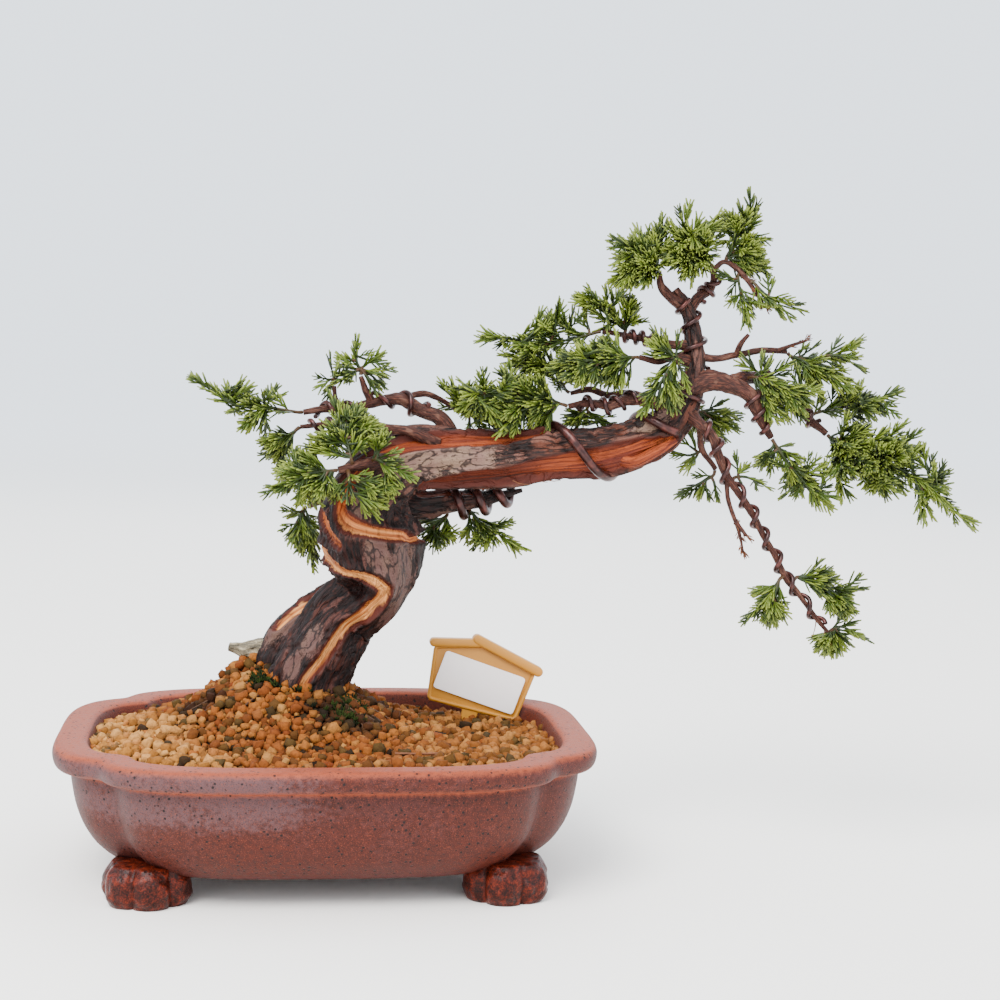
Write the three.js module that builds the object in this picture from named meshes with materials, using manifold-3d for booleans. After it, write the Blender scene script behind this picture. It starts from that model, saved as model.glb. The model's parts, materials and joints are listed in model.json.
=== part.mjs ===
// Itoigawa juniper bonsai in a four-lobed clay pot: a twisted trunk that leans to the right, wired
// branches with short blunt twiglets, a bed of baked-clay granules and a plain plant label.
// Millimetres, +Z up. +X runs along the pot's long side and +Y away from the front. Points are
// measured from the middle of the pot's footprint, and the last lines centre the whole tree.
import * as THREE from "three";
import { mergeVertices } from "three/addons/utils/BufferGeometryUtils.js";
import Module from "manifold-3d";

const GAP = 0.35;

const POT_LENGTH = 240;
const POT_WIDTH = 193;
const POT_HEIGHT = 64;
// The plan is two crossed rounded rectangles: a long narrow one and a short wide one.
const LONG_LOBE_WIDTH = 168;
const SHORT_LOBE_LENGTH = 218;
const LOBE_SQUARENESS = 4;
const NOTCH_SOFTNESS = 60;
// Where the outline's corners lie in one quarter of the plan, in degrees; the rest is mirrored.
const QUARTER_ANGLES = [0, 18, 27, 32, 35.5, 39, 43.5, 51, 63, 77, 90];
// Height, and inset from the rim's outer edge, up the outside and then down the inside.
const POT_OUTSIDE = [[11, 34], [15, 23], [21, 17.5], [31, 11.5], [46, 8], [53.5, 7.5], [55, 1.5], [60, 0],
  [64, 2.5]];
const POT_INSIDE = [[64, 13], [61, 15.5], [17.5, 28]];
// Each foot's outline has six scallops, one of them pointing away from the pot.
const FOOT_CENTRE = [77, 54.5];
const FOOT_RADIUS = 16.5;
const FOOT_SCALLOP = 4;
const FOOT_HEIGHT = 17;
const DRAIN_SPACING = 80;
const DRAIN_RADIUS = 7;
const SCREEN_SIZE = 22;
const SCREEN_THICKNESS = 1.2;
const SCREEN_BAR = 1.8;
const SCREEN_CELLS = 2;

const SOIL_LEVEL = 57.7;
const SOIL_FALL = 0.04;
const SOIL_RINGS = 6;
const GRAIN_RELIEF = 1.6;

const BARK_SIDES = 12;
const BRANCH_SIDES = 5;
const TWIG_SIDES = 4;
// Control points are x, y, z and the radius there.
const TRUNK = [[-12, 14, 61.5, 21.3], [-10, 13, 79.5, 18.5], [-2.5, 12, 96.5, 17.3], [7, 10, 113.5, 15.2],
  [18.5, 6, 124.5, 15.6], [20.5, 3, 137, 20.1], [17.5, 1, 149.5, 22.3], [16.5, 0, 161, 20],
  [18.5, 0, 169.5, 17.2], [24.5, 0, 178.5, 15], [35, 0, 185, 13.6], [54, 0, 186.5, 13.2],
  [77, -1, 187.5, 12.3], [100, -2, 190.5, 10.7], [123, -3, 192, 10.1], [141.5, -3, 196.5, 9],
  [153, -3, 203.5, 8.3], [160.5, -2, 213.5, 7.4], [166, 0, 225, 5.8], [166.5, 2, 239, 4.6],
  [165, 3, 251.5, 3.9], [161, 3, 260.5, 3.2], [156.5, 3, 266, 2.5]];
const BRANCHES = {
  second_root: [[11.5, 18, 123, 8.4], [-1, 20, 113.5, 10.7], [-12, 22, 103.5, 12.1], [-19.5, 24, 92, 11.7],
    [-23, 24, 68, 10.8]],
  dead_stub: [[-14, 26, 88.5, 8.4], [-29.5, 30, 92, 6.1], [-45, 34, 94.5, 2.1]],
  torn_wood: [[127.5, -4, 191.5, 5], [136.5, -9, 187.5, 3.6], [147, -12, 192.5, 3.2], [156, -13, 198, 1.4]],
  right: [[161.5, -2, 219.5, 6], [172.5, -4, 225, 5.5], [183, -6, 223, 4.8], [191, -8, 219, 3.9],
    [194, -9, 212.5, 3.2], [197.5, -9, 205.5, 2.5], [201.5, -8, 199.5, 1.6]],
  right_back: [[181, -5, 224, 3.7], [192.5, 2, 226.5, 3], [203.5, 7, 225, 2.8], [214, 9, 217.5, 2.3],
    [224.5, 9, 207.5, 2.1], [232.5, 8, 201, 1.6]],
  right_upper: [[166.5, 2, 236, 2.8], [176.5, 1, 235, 2.3], [187, 2, 237, 2.1], [200, 4, 239.5, 1.9],
    [211, 5, 239, 1.4]],
  right_upper_dead: [[206, 5, 239, 1.2], [212.5, 2, 242, 0.9], [219, 0, 244.5, 0.6]],
  right_upper_twig: [[186.5, 2, 237, 1.4], [187.5, -1, 242, 1.4], [190.5, -3, 246.5, 0.9]],
  drop: [[161, -4, 210.5, 3.7], [167.5, -10, 205.5, 3], [173, -13, 199.5, 2.5], [175.5, -13, 192.5, 2.5],
    [180.5, -11, 182, 2.3], [189, -10, 171, 2.1], [194.5, -9, 163, 2.1], [199.5, -9, 154, 1.8],
    [205.5, -9, 144.5, 1.8], [210.5, -9, 135, 1.9], [218.5, -8, 125.5, 1.6], [226.5, -7, 115.5, 1.4],
    [233, -6, 108.5, 1.2]],
  drop_side: [[168, -8, 205, 1.8], [171, 0, 193.5, 1.4], [178.5, 3, 184, 1.2]],
  drop_dead: [[180.5, -11, 182.5, 1.6], [181.5, -10, 172, 1.4], [185.5, -9, 161.5, 1.5], [188, -9, 155, 1.2],
    [190, -9, 146.5, 0.7]],
  drop_dead_fork: [[186, -9, 160.5, 1.2], [190.5, -12, 154.5, 0.7]],
  crown_low: [[156, -3, 211, 4.1], [145, -6, 215, 3.4], [133.5, -8, 215.5, 3], [125, -9, 212.5, 2.5],
    [116.5, -8, 214, 2], [107, -7, 212, 1.4]],
  crown_low_back: [[143, -4, 215.5, 2.7], [137, 2, 218, 2.3], [127, 5, 217, 2.1], [119, 6, 219.5, 1.8],
    [110, 7, 217.5, 1.2]],
  crown_middle: [[164.5, 1, 233.5, 2.5], [154.5, -6, 235.5, 2.1], [146.5, -9, 233.5, 1.6],
    [138.5, -10, 235, 1.1]],
  crown_top: [[164.5, 2, 241, 2.5], [152.5, 3, 241.5, 2.1], [144, 5, 243.5, 1.8], [136, 6, 244.5, 1.8],
    [124, 6, 246.5, 1.2]],
  apex_left: [[161, 3, 259, 2.8], [155, 1, 262.5, 2.3], [149.5, -1, 267.5, 1.8], [148, -1, 274, 1.4]],
  apex_right: [[163, 3, 256, 2.5], [168.5, 6, 263, 2.3], [174.5, 7, 267.5, 1.9], [175, 5, 275, 1.6],
    [169.5, 3, 281, 1.4]],
  apex_dead: [[174.5, 5, 275, 1.4], [179.5, 4, 279.5, 1.2], [185.5, 2, 276.5, 1.2], [190, 1, 271.5, 1.2],
    [198.5, -2, 259, 0.7]],
  left: [[56.5, 2, 195.5, 5], [49.5, 5, 205, 4.1], [40.5, 6, 208.5, 3.9], [31, 5, 213.5, 3.4],
    [18.5, 3, 211.5, 2.9], [6, 1, 208.5, 2.3], [-3, 0, 208.5, 2], [-12.5, -1, 207, 1.6]],
  left_front: [[45, -6, 197.5, 3.4], [35, -8, 199.5, 2.9], [23, -7, 201, 2.7], [14.5, -5, 203, 2.2],
    [4, -5, 202.5, 1.8], [-6, -4, 201.5, 1.3], [-14, -4, 200.5, 1.1]],
  left_twig: [[18.5, 3, 212, 1.8], [15.5, 2, 217.5, 1.6], [13, 1, 223.5, 0.9]],
  left_bud: [[6, 1, 208.5, 1.6], [2, -1, 213, 1.1], [1, -2, 219, 0.9]],
  left_back: [[31, 5, 213, 2], [43, 11, 216, 1.8], [52, 14, 212.5, 1.6], [59, 15, 208.5, 1.2]],
  under_beam: [[28.5, 8, 167, 6.9], [42, 12, 164.5, 6], [58.5, 14, 166, 5.1], [74.5, 14, 168, 4.2],
    [89.5, 13, 172, 3]],
  front: [[30, -8, 185.5, 4.5], [21, -19, 186.5, 3.1], [12, -26, 185, 2.4], [2.5, -28, 183, 1.5]],
  back: [[22, 10, 173.5, 4.1], [11, 20, 169.5, 2.8], [0, 25, 166, 2.1], [-9.5, 26, 162, 1.2]],
};

// A coil winds round a limb from one of its control points to another, counted from 0, with a
// number of turns from a starting angle. A wire with two runs crosses from one limb to the next.
const THICK_WIRE = { radius: 2.1, steps: 12, sides: 5 };
const THIN_WIRE = { radius: 1.1, steps: 7, sides: 4 };
const COILS = {
  wire_beam: { ...THICK_WIRE, runs: [["under_beam", 1.85, 3.75, 3, 240], ["trunk", 12.3, 16, 1.6, 170]] },
  wire_leader: { ...THIN_WIRE, runs: [["trunk", 18.4, 21.05, 2.85, 90]] },
  wire_leader_pair: { ...THIN_WIRE, runs: [["trunk", 16.75, 17.75, 1.3, 120]] },
  wire_drop: { ...THIN_WIRE, runs: [["drop", 1.1, 11.45, 9.3, 200]] },
  wire_right: { ...THIN_WIRE, runs: [["right", 2.95, 5.65, 3, 170]] },
  wire_right_back: { ...THIN_WIRE, runs: [["right_back", 1.75, 4.4, 4, 270]] },
  wire_crown_low: { ...THIN_WIRE, runs: [["crown_low", 1.65, 4.6, 3.95, 350]] },
  wire_crown_top: { ...THIN_WIRE, runs: [["crown_top", 1, 3.25, 4, 20]] },
  wire_left: { ...THIN_WIRE, runs: [["left", 1.65, 6.5, 4.65, 50]] },
  wire_left_front: { ...THIN_WIRE, runs: [["left_front", 2.4, 5.45, 3.4, 330]] },
  wire_apex: { ...THIN_WIRE, runs: [["apex_right", 1.05, 2.6, 2.2, 65]] },
};
const WIRE_GAP = 0.55;
const SEAT_GAP = 0.5;

const CORE_RADIUS = 0.85;
const TWIGLET_LENGTH = 9;
const TWIGLET_RADIUS = 0.8;
const TWIGLET_ROOT = 0.3;
const TWIGLET_SPACING = 15;
const TWIGLET_LEAN = 0.75;
// A spray's stem starts at its seat on the wood. Each side shoot names the stem point that it
// leaves from, counted from 0, and the x, y, z of its tip.
const SPRAYS = {
  left_tip: { stem: [[-15, -3, 207], [-28, -5, 209], [-43, -8, 210], [-57, -10, 219]],
    sides: [[1, -25, 4, 217], [1, -31, -12, 215], [1, -39, -14, 200], [1, -30, -1, 196], [2, -46, -2, 216]] },
  left_hanging: { stem: [[-16, -6, 199], [-19, -6, 194], [-21, -8, 185]],
    sides: [[0, -30, -13, 194], [0, -27, -4, 190], [1, -24, 2, 187]] },
  upper_left: { stem: [[13, 1, 226], [11, 0, 230], [11, -1, 235]],
    sides: [[0, 3, -6, 221], [0, 4, 5, 227], [1, 5, 4, 232], [0, 19, 4, 231], [0, 29, 8, 225],
      [0, 27, 4, 218], [0, 22, -4, 216]] },
  upper_left_bud: { stem: [[1, -2, 221], [0, -2, 226]],
    sides: [[0, -6, -6, 222], [0, -2, 3, 217], [0, 6, -6, 222]] },
  front_upper: { stem: [[8, -29, 188], [6, -25, 196], [2, -19, 208]],
    sides: [[1, -7, -31, 198], [1, 22, -24, 201], [0, -13, -25, 193], [1, 12, -14, 210]] },
  front_left: { stem: [[0, -30, 183], [-9, -32, 182], [-22, -33, 176]],
    sides: [[0, -17, -22, 189], [1, -22, -24, 183], [1, -16, -26, 170], [0, -7, -38, 172]] },
  front_low: { stem: [[7, -32, 181], [8, -34, 175], [15, -33, 168]],
    sides: [[0, -1, -26, 170], [1, 24, -28, 168], [0, 29, -33, 175]] },
  front_right: { stem: [[18, -26, 188], [22, -30, 187], [28, -33, 184]],
    sides: [[0, 27, -24, 191], [0, 21, -30, 197], [1, 25, -30, 173]] },
  back_left: { stem: [[-11, 27, 161], [-14, 28, 155], [-16, 30, 151]],
    sides: [[0, -18, 22, 160], [0, -9, 34, 149], [1, -13, 24, 147], [0, -5, 27, 145], [0, -6, 28, 131]] },
  behind_beam: { stem: [[62, 17, 207], [72, 20, 204], [82, 22, 198]],
    sides: [[0, 66, 24, 197], [1, 70, 25, 210], [1, 81, 15, 206], [0, 70, 9, 222], [0, 54, 6, 220],
      [0, 49, 13, 221]] },
  under_left: { stem: [[55, 18, 159], [50, 20, 155], [45, 22, 147]],
    sides: [[0, 40, 28, 155], [1, 50, 15, 145], [0, 57, 24, 145]] },
  under_right: { stem: [[66, 18, 161], [74, 18, 155], [83, 16, 148]],
    sides: [[0, 64, 22, 147], [1, 73, 11, 147], [1, 84, 23, 156], [0, 68, 12, 148]] },
  crown_far_left: { stem: [[122, 6, 246], [102, 4, 241], [74, 0, 242]],
    sides: [[1, 100, 9, 256], [1, 103, -2, 260], [0, 116, 12, 256], [1, 86, -5, 235], [1, 106, -4, 232]] },
  crown_upper: { stem: [[135, 7, 248], [129, 8, 255], [118, 8, 260]],
    sides: [[0, 141, 3, 252], [1, 123, 2, 265], [1, 133, 14, 265], [0, 135, 0, 261]] },
  crown_middle: { stem: [[136, -11, 235], [120, -15, 233], [108, -18, 234]],
    sides: [[1, 111, -21, 223], [0, 128, -8, 221], [0, 124, -6, 242], [1, 117, -8, 224]] },
  crown_middle_left: { stem: [[108, 8, 219], [102, 7, 229], [84, 4, 234]],
    sides: [[1, 97, 14, 232], [0, 113, 10, 227], [1, 94, -2, 225]] },
  crown_low_left: { stem: [[104, -8, 213], [87, -10, 214], [69, -13, 217], [59, -14, 219]],
    sides: [[1, 77, -3, 230], [2, 66, -18, 223], [1, 75, -14, 198], [2, 59, -7, 206], [1, 84, -3, 204],
      [0, 88, -19, 226], [0, 94, -4, 204]] },
  front_of_leader: { stem: [[155, -14, 236], [150, -17, 229], [143, -19, 217]],
    sides: [[0, 143, -13, 245], [0, 155, -14, 243], [1, 155, -19, 214],
      [0, 160, -15, 223]] },
  over_beam: { stem: [[117, 0, 210], [122, 2, 207], [129, 4, 204]],
    sides: [[0, 111, 5, 208], [0, 107, -1, 204]] },
  apex_left: { stem: [[147, -2, 276], [141, -3, 281], [132, -5, 285]],
    sides: [[0, 151, 4, 302], [1, 131, 7, 278], [1, 126, -9, 268], [0, 136, -11, 264], [1, 140, 6, 291],
      [0, 137, -15, 275]] },
  apex_centre: { stem: [[168, 2, 283], [162, 0, 289], [158, -2, 297]],
    sides: [[0, 151, -14, 278], [0, 157, -13, 271], [1, 170, 7, 297], [0, 171, -11, 279],
      [0, 168, 15, 280]] },
  apex_right: { stem: [[181, 5, 282], [186, 6, 290], [192, 4, 302]],
    sides: [[0, 194, -3, 287], [0, 200, 1, 279], [0, 202, 8, 275], [1, 179, 11, 297], [1, 182, -2, 299]] },
  apex_droop: { stem: [[192, 0, 271], [198, -3, 265], [209, -6, 260]],
    sides: [[1, 203, 2, 270], [1, 204, -9, 257], [0, 200, -9, 258]] },
  apex_hanging: { stem: [[186, 2, 274], [187, 1, 266], [188, 0, 259]],
    sides: [[1, 184, -3, 263], [1, 192, 4, 261], [0, 176, 5, 271]] },
  right_upper: { stem: [[213, 5, 237], [228, 7, 237], [242, 9, 243]],
    sides: [[1, 252, 9, 233], [1, 244, 1, 238], [0, 225, 11, 240], [0, 224, 1, 230], [0, 245, 0, 225],
      [0, 232, 7, 215], [0, 239, -7, 222], [0, 222, 11, 213]] },
  right_near: { stem: [[194, -6, 227], [205, -11, 223], [217, -13, 221]],
    sides: [[0, 191, -6, 234], [0, 208, -11, 234], [1, 213, -16, 215], [0, 217, -14, 209],
      [0, 196, -13, 200]] },
  pad_upper: { stem: [[227, 11, 210], [240, 13, 213], [262, 15, 218]],
    sides: [[1, 240, 4, 219], [1, 253, 20, 219], [1, 265, 24, 213], [0, 232, 16, 215]] },
  pad_end: { stem: [[234, 6, 199], [253, 4, 191], [275, 2, 181], [297, 0, 163]],
    sides: [[1, 281, 13, 196], [2, 291, 9, 184], [2, 286, -8, 175], [1, 264, -15, 192], [0, 251, 6, 206],
      [0, 240, -3, 212], [1, 268, 3, 208], [0, 262, -7, 199], [1, 279, 8, 202], [0, 241, -2, 186],
      [1, 258, -6, 172], [1, 253, 8, 172], [2, 277, -8, 161], [0, 235, -11, 171],
      [0, 236, -14, 195], [1, 243, -25, 186], [0, 231, -27, 183], [1, 248, -27, 196]] },
  pad_left_low: { stem: [[203, -9, 197], [210, -11, 187], [222, -14, 174]],
    sides: [[0, 196, -6, 187], [1, 211, -3, 175], [1, 199, -19, 188], [1, 231, -7, 170]] },
  behind_leader: { stem: [[172, 14, 210], [180, 18, 211], [188, 22, 209]],
    sides: [[0, 192, 15, 200], [0, 184, 21, 195], [0, 176, 26, 200]] },
  drop_upper: { stem: [[171, 2, 192], [166, 3, 190], [161, 5, 191]],
    sides: [[0, 163, 8, 197], [0, 166, -1, 185]] },
  drop_lower: { stem: [[178, 4, 181], [174, 6, 178], [169, 8, 175]],
    sides: [[0, 180, 1, 172], [1, 176, 11, 172]] },
  drop_right: { stem: [[185, -9, 181], [191, -7, 181], [198, -5, 178]],
    sides: [[0, 187, -4, 188], [0, 190, -11, 175]] },
  end_left: { stem: [[207, -11, 134], [204, -13, 127], [196, -15, 121]],
    sides: [[0, 202, -5, 126], [1, 204, -12, 114], [1, 213, -6, 114]] },
  end_right: { stem: [[217, -7, 135], [230, -5, 130], [242, -4, 129]],
    sides: [[0, 229, -9, 138], [1, 244, 1, 122], [1, 240, -9, 117]] },
  end_tip: { stem: [[235, -5, 110], [240, -3, 111], [247, -2, 108]],
    sides: [[0, 241, -7, 103], [0, 236, -1, 101], [0, 228, -13, 103]] },
};

const LABEL_SEAT = [70.4, 48, 58.6];
const LABEL_TILT = 15;
const LABEL_THICKNESS = 2.4;
const LABEL_RECESS = 0.7;
// Right and up from the seat, in the label's own plane.
const LABEL_BOARD = [[-24.6, 29.5], [-21, 2.6], [-4, 2.6], [0, -26], [4, 2.6], [22, 3.2], [24.6, 29.5],
  [-2, 36.5]];
const LABEL_PANEL = [[-22.4, 27.8], [-19, 4.8], [20, 5.2], [22.4, 27.8], [-2, 33.8]];
const LABEL_RAILS = [[[-26.5, 30.6], [-6, 35.6], 2.1], [[-6.4, 37.4], [26.6, 29.9], 2.4]];
const RAIL_DEPTH = 6;
const STICKER_SIZE = [41.5, 19];
const STICKER_CENTRE = [0.3, 17.4];
const STICKER_TILT = 4.5;
const STICKER_THICKNESS = 0.5;

const CLAY = new THREE.MeshStandardMaterial({ color: 0x8a4a40, roughness: 0.55, metalness: 0 });
const AKADAMA = new THREE.MeshStandardMaterial({ color: 0xb9834e, roughness: 0.95, metalness: 0 });
const BARK = new THREE.MeshStandardMaterial({ color: 0x5b3d33, roughness: 0.85, metalness: 0 });
const COPPER_BROWN = new THREE.MeshStandardMaterial({ color: 0x6b3530, roughness: 0.35, metalness: 0.8 });
const LEAF = new THREE.MeshStandardMaterial({ color: 0x5f8f35, roughness: 0.6, metalness: 0 });
const YELLOW_PLASTIC = new THREE.MeshStandardMaterial({ color: 0xd9a23f, roughness: 0.45, metalness: 0 });
const WHITE_PAPER = new THREE.MeshStandardMaterial({ color: 0xf2eeee, roughness: 0.7, metalness: 0 });
const BLACK_MESH = new THREE.MeshStandardMaterial({ color: 0x20231f, roughness: 0.6, metalness: 0 });

const DEGREE = Math.PI / 180;
const FRONT = new THREE.Vector3(0, -1, 0);

const wasm = await Module();
wasm.setup();

const vector = ([x, y, z]) => new THREE.Vector3(x, y, z);

// A small generator, so that every run draws the same numbers.
function seededRandom(seed) {
  let state = seed;
  return () => {
    state = (state + 0x6d2b79f5) | 0;
    let mixed = Math.imul(state ^ (state >>> 15), 1 | state);
    mixed = (mixed + Math.imul(mixed ^ (mixed >>> 7), 61 | mixed)) ^ mixed;
    return ((mixed ^ (mixed >>> 14)) >>> 0) / 4294967296;
  };
}

function polygon(sides, radius) {
  return Array.from({ length: sides }, (_, i) => {
    const angle = (i / sides) * 2 * Math.PI;
    return new THREE.Vector2(radius * Math.cos(angle), radius * Math.sin(angle));
  });
}

// Closed solids

function signedVolume(positions, corners) {
  const [a, b, c] = [new THREE.Vector3(), new THREE.Vector3(), new THREE.Vector3()];
  let volume = 0;
  for (let i = 0; i < corners.length; i += 3) {
    a.fromArray(positions, corners[i] * 3);
    b.fromArray(positions, corners[i + 1] * 3);
    c.fromArray(positions, corners[i + 2] * 3);
    volume += a.dot(b.cross(c)) / 6;
  }
  return volume;
}

function toSolid(geometry) {
  const bare = geometry.clone();
  bare.deleteAttribute("normal");
  bare.deleteAttribute("uv");
  const merged = mergeVertices(bare, 1e-4);
  const index = merged.index.array;
  const corners = [];
  for (let i = 0; i < index.length; i += 3) {
    const [a, b, c] = [index[i], index[i + 1], index[i + 2]];
    if (a !== b && b !== c && c !== a) corners.push(a, b, c);
  }
  const positions = merged.attributes.position.array;
  if (signedVolume(positions, corners) < 0) corners.reverse();
  return new wasm.Manifold(new wasm.Mesh({
    numProp: 3,
    vertProperties: new Float32Array(positions),
    triVerts: new Uint32Array(corners),
  }));
}

function joined(solids) {
  return solids.reduce((whole, solid) => whole.add(solid));
}

function toMesh(name, solid, material) {
  const { vertProperties, triVerts } = solid.getMesh();
  const geometry = new THREE.BufferGeometry();
  geometry.setAttribute("position", new THREE.BufferAttribute(vertProperties, 3));
  geometry.setIndex(new THREE.BufferAttribute(triVerts, 1));
  geometry.computeVertexNormals();
  const mesh = new THREE.Mesh(geometry, material);
  mesh.name = name;
  return mesh;
}

// Limbs: round tapered wood along a curve

function sidesFor(radius) {
  if (radius > 6.5) return 8;
  return radius > 2 ? BRANCH_SIDES : TWIG_SIDES;
}

class Limb {
  constructor(points, { sides = BRANCH_SIDES, ringsPerSpan = 1, bark = 0 } = {}) {
    Object.assign(this, { sides, ringsPerSpan, bark });
    this.spans = points.length - 1;
    this.path = new THREE.CatmullRomCurve3(points.map(vector), false, "centripetal");
    this.radii = new THREE.SplineCurve(points.map((point, i) => new THREE.Vector2(i, point[3])));
    this.frames = this.carryFrames(this.spans * 24);
  }

  // Each frame is turned from the one before by no more than the path itself turns.
  carryFrames(count) {
    const frames = [];
    let tangent = this.path.getTangent(0);
    let normal = FRONT.clone().projectOnPlane(tangent).normalize();
    for (let i = 0; i <= count; i += 1) {
      const next = this.path.getTangent(i / count);
      normal.applyQuaternion(new THREE.Quaternion().setFromUnitVectors(tangent, next));
      normal.projectOnPlane(next).normalize();
      tangent = next;
      frames.push({ tangent, normal: normal.clone(), side: next.clone().cross(normal) });
    }
    return frames;
  }

  // Everything at a place along the limb, given as a count of control points.
  at(place) {
    const share = THREE.MathUtils.clamp(place / this.spans, 0, 1);
    const frame = this.frames[Math.round(share * (this.frames.length - 1))];
    return { ...frame, centre: this.path.getPoint(share), radius: this.radii.getPoint(share).y };
  }

  // The way out from the limb's middle line at an angle, measured round from its front.
  outward(place, angle) {
    const { normal, side } = this.at(place);
    return normal.clone().multiplyScalar(Math.cos(angle)).addScaledVector(side, Math.sin(angle));
  }

  // How far the flat sides of the prism lie from its middle line at an angle.
  skin(place, angle) {
    const side = (2 * Math.PI) / this.sides;
    const within = THREE.MathUtils.euclideanModulo(angle, side) - side / 2;
    return (this.surfaceRadius(place, angle) * Math.cos(side / 2)) / Math.cos(within);
  }

  // A tight bend keeps its inner side from folding through itself.
  bendLimit(place, direction) {
    const step = 0.1;
    const [before, after] = [this.at(place - step), this.at(place + step)];
    const turn = after.tangent.clone().sub(before.tangent);
    const curvature = turn.dot(direction) / after.centre.distanceTo(before.centre);
    return curvature > 0 ? 0.85 / curvature : Infinity;
  }

  surfaceRadius(place, angle) {
    const ridges = 0.6 * Math.cos(3 * angle + place * 1.1) + 0.4 * Math.cos(5 * angle - place * 1.7);
    const fade = THREE.MathUtils.smoothstep(place, 1, 2);
    return this.at(place).radius * (1 + this.bark * fade * ridges);
  }

  // A straight prism bent along the path and made longer at both ends by any extra thickness.
  solid(extra = 0) {
    const steps = this.spans * this.ringsPerSpan;
    const section = new THREE.Shape(polygon(this.sides, 1));
    const geometry = new THREE.ExtrudeGeometry(section, { depth: 1, steps, bevelEnabled: false });
    const position = geometry.attributes.position;
    for (let i = 0; i < position.count; i += 1) {
      const share = position.getZ(i);
      const place = share * this.spans;
      const angle = Math.atan2(position.getY(i), position.getX(i));
      const way = this.outward(place, angle);
      const reach = Math.min(this.surfaceRadius(place, angle), this.bendLimit(place, way)) + extra;
      const { centre, tangent } = this.at(place);
      centre.addScaledVector(way, reach);
      if (share < 0.001) centre.addScaledVector(tangent, -extra);
      if (share > 0.999) centre.addScaledVector(tangent, extra);
      position.setXYZ(i, centre.x, centre.y, centre.z);
    }
    return toSolid(geometry);
  }

  // The limb as a chain of round rods, for keeping other things clear of it.
  rods() {
    const count = this.spans * 2;
    const rods = [];
    for (let i = 0; i < count; i += 1) {
      const [a, b] = [this.at(i / 2), this.at((i + 1) / 2)];
      rods.push({ a: a.centre, b: b.centre, ra: a.radius * (1 + this.bark), rb: b.radius * (1 + this.bark) });
    }
    return rods;
  }
}

// Clearances between round rods

function closestShares(p, q) {
  const along = q.b.clone().sub(q.a);
  const own = p.b.clone().sub(p.a);
  const between = p.a.clone().sub(q.a);
  const [a, e, f] = [own.lengthSq(), along.lengthSq(), along.dot(between)];
  const [b, c] = [own.dot(along), own.dot(between)];
  const flat = a * e - b * b;
  let s = flat > 1e-9 ? THREE.MathUtils.clamp((b * f - c * e) / flat, 0, 1) : 0;
  const t = THREE.MathUtils.clamp((b * s + f) / Math.max(e, 1e-9), 0, 1);
  s = THREE.MathUtils.clamp((b * t - c) / Math.max(a, 1e-9), 0, 1);
  return [s, t];
}

function rodGap(p, q) {
  const [s, t] = closestShares(p, q);
  const here = p.a.clone().lerp(p.b, s);
  const there = q.a.clone().lerp(q.b, t);
  const thickness = THREE.MathUtils.lerp(p.ra, p.rb, s) + THREE.MathUtils.lerp(q.ra, q.rb, t);
  return here.distanceTo(there) - thickness;
}

function isClear(rod, others) {
  return others.every((other) => rodGap(rod, other) > GAP);
}

// Wires

// The coil's points. Each is lifted off the limb, by 4 mm at most, until it clears the rest.
function coilPoints(limb, [, from, to, turns, start], { radius, steps }, others) {
  const count = Math.round(turns * steps);
  const chordGain = 1 / Math.cos(Math.PI / steps);
  const points = [];
  for (let i = 0; i <= count; i += 1) {
    const place = THREE.MathUtils.lerp(from, to, i / count);
    const angle = start * DEGREE + (i / steps) * 2 * Math.PI;
    const { centre, radius: wood } = limb.at(place);
    const way = limb.outward(place, angle);
    const point = centre.addScaledVector(way, (wood * (1 + limb.bark) + radius + WIRE_GAP) * chordGain);
    const bead = { a: point, b: point, ra: radius + 0.1, rb: radius + 0.1 };
    for (let lift = 0; lift < 4 && !isClear(bead, others); lift += 0.5) point.addScaledVector(way, 0.5);
    points.push(point);
  }
  return points;
}

function rodsThrough(points, radius) {
  return points.slice(1).map((b, i) => ({ a: points[i], b, ra: radius, rb: radius }));
}

function wireSolid(points, { radius, sides }) {
  const section = new THREE.Shape(polygon(sides, radius));
  const extrudePath = new THREE.CatmullRomCurve3(points, false, "centripetal");
  return toSolid(new THREE.ExtrudeGeometry(section, { steps: points.length - 1, extrudePath }));
}

// Sprays of twiglets

function nearestWood(point, limbs) {
  let nearest = { gap: Infinity };
  for (const limb of limbs) {
    for (let place = 0; place <= limb.spans + 0.01; place += 1 / 12) {
      const here = limb.at(place);
      const gap = here.centre.distanceTo(point) - here.radius;
      if (gap < nearest.gap) nearest = { gap, limb, place, ...here };
    }
  }
  return nearest;
}

// The spray's first point, moved to just off the end or the side of the nearest wood.
function seatOnWood(point, next, limbs) {
  const { limb, place, centre, tangent, normal, side } = nearestWood(point, limbs);
  const away = point.clone().sub(centre);
  const lead = next.clone().sub(point);
  if (place > limb.spans - 0.05 && away.angleTo(tangent) < 1) {
    return centre.addScaledVector(tangent, SEAT_GAP + 0.7 * CORE_RADIUS * Math.sin(lead.angleTo(tangent)));
  }
  away.projectOnPlane(tangent).normalize();
  const skin = limb.skin(place, Math.atan2(away.dot(side), away.dot(normal)));
  return centre.addScaledVector(away, skin + SEAT_GAP + 0.7 * CORE_RADIUS * Math.sin(lead.angleTo(away)));
}

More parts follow.
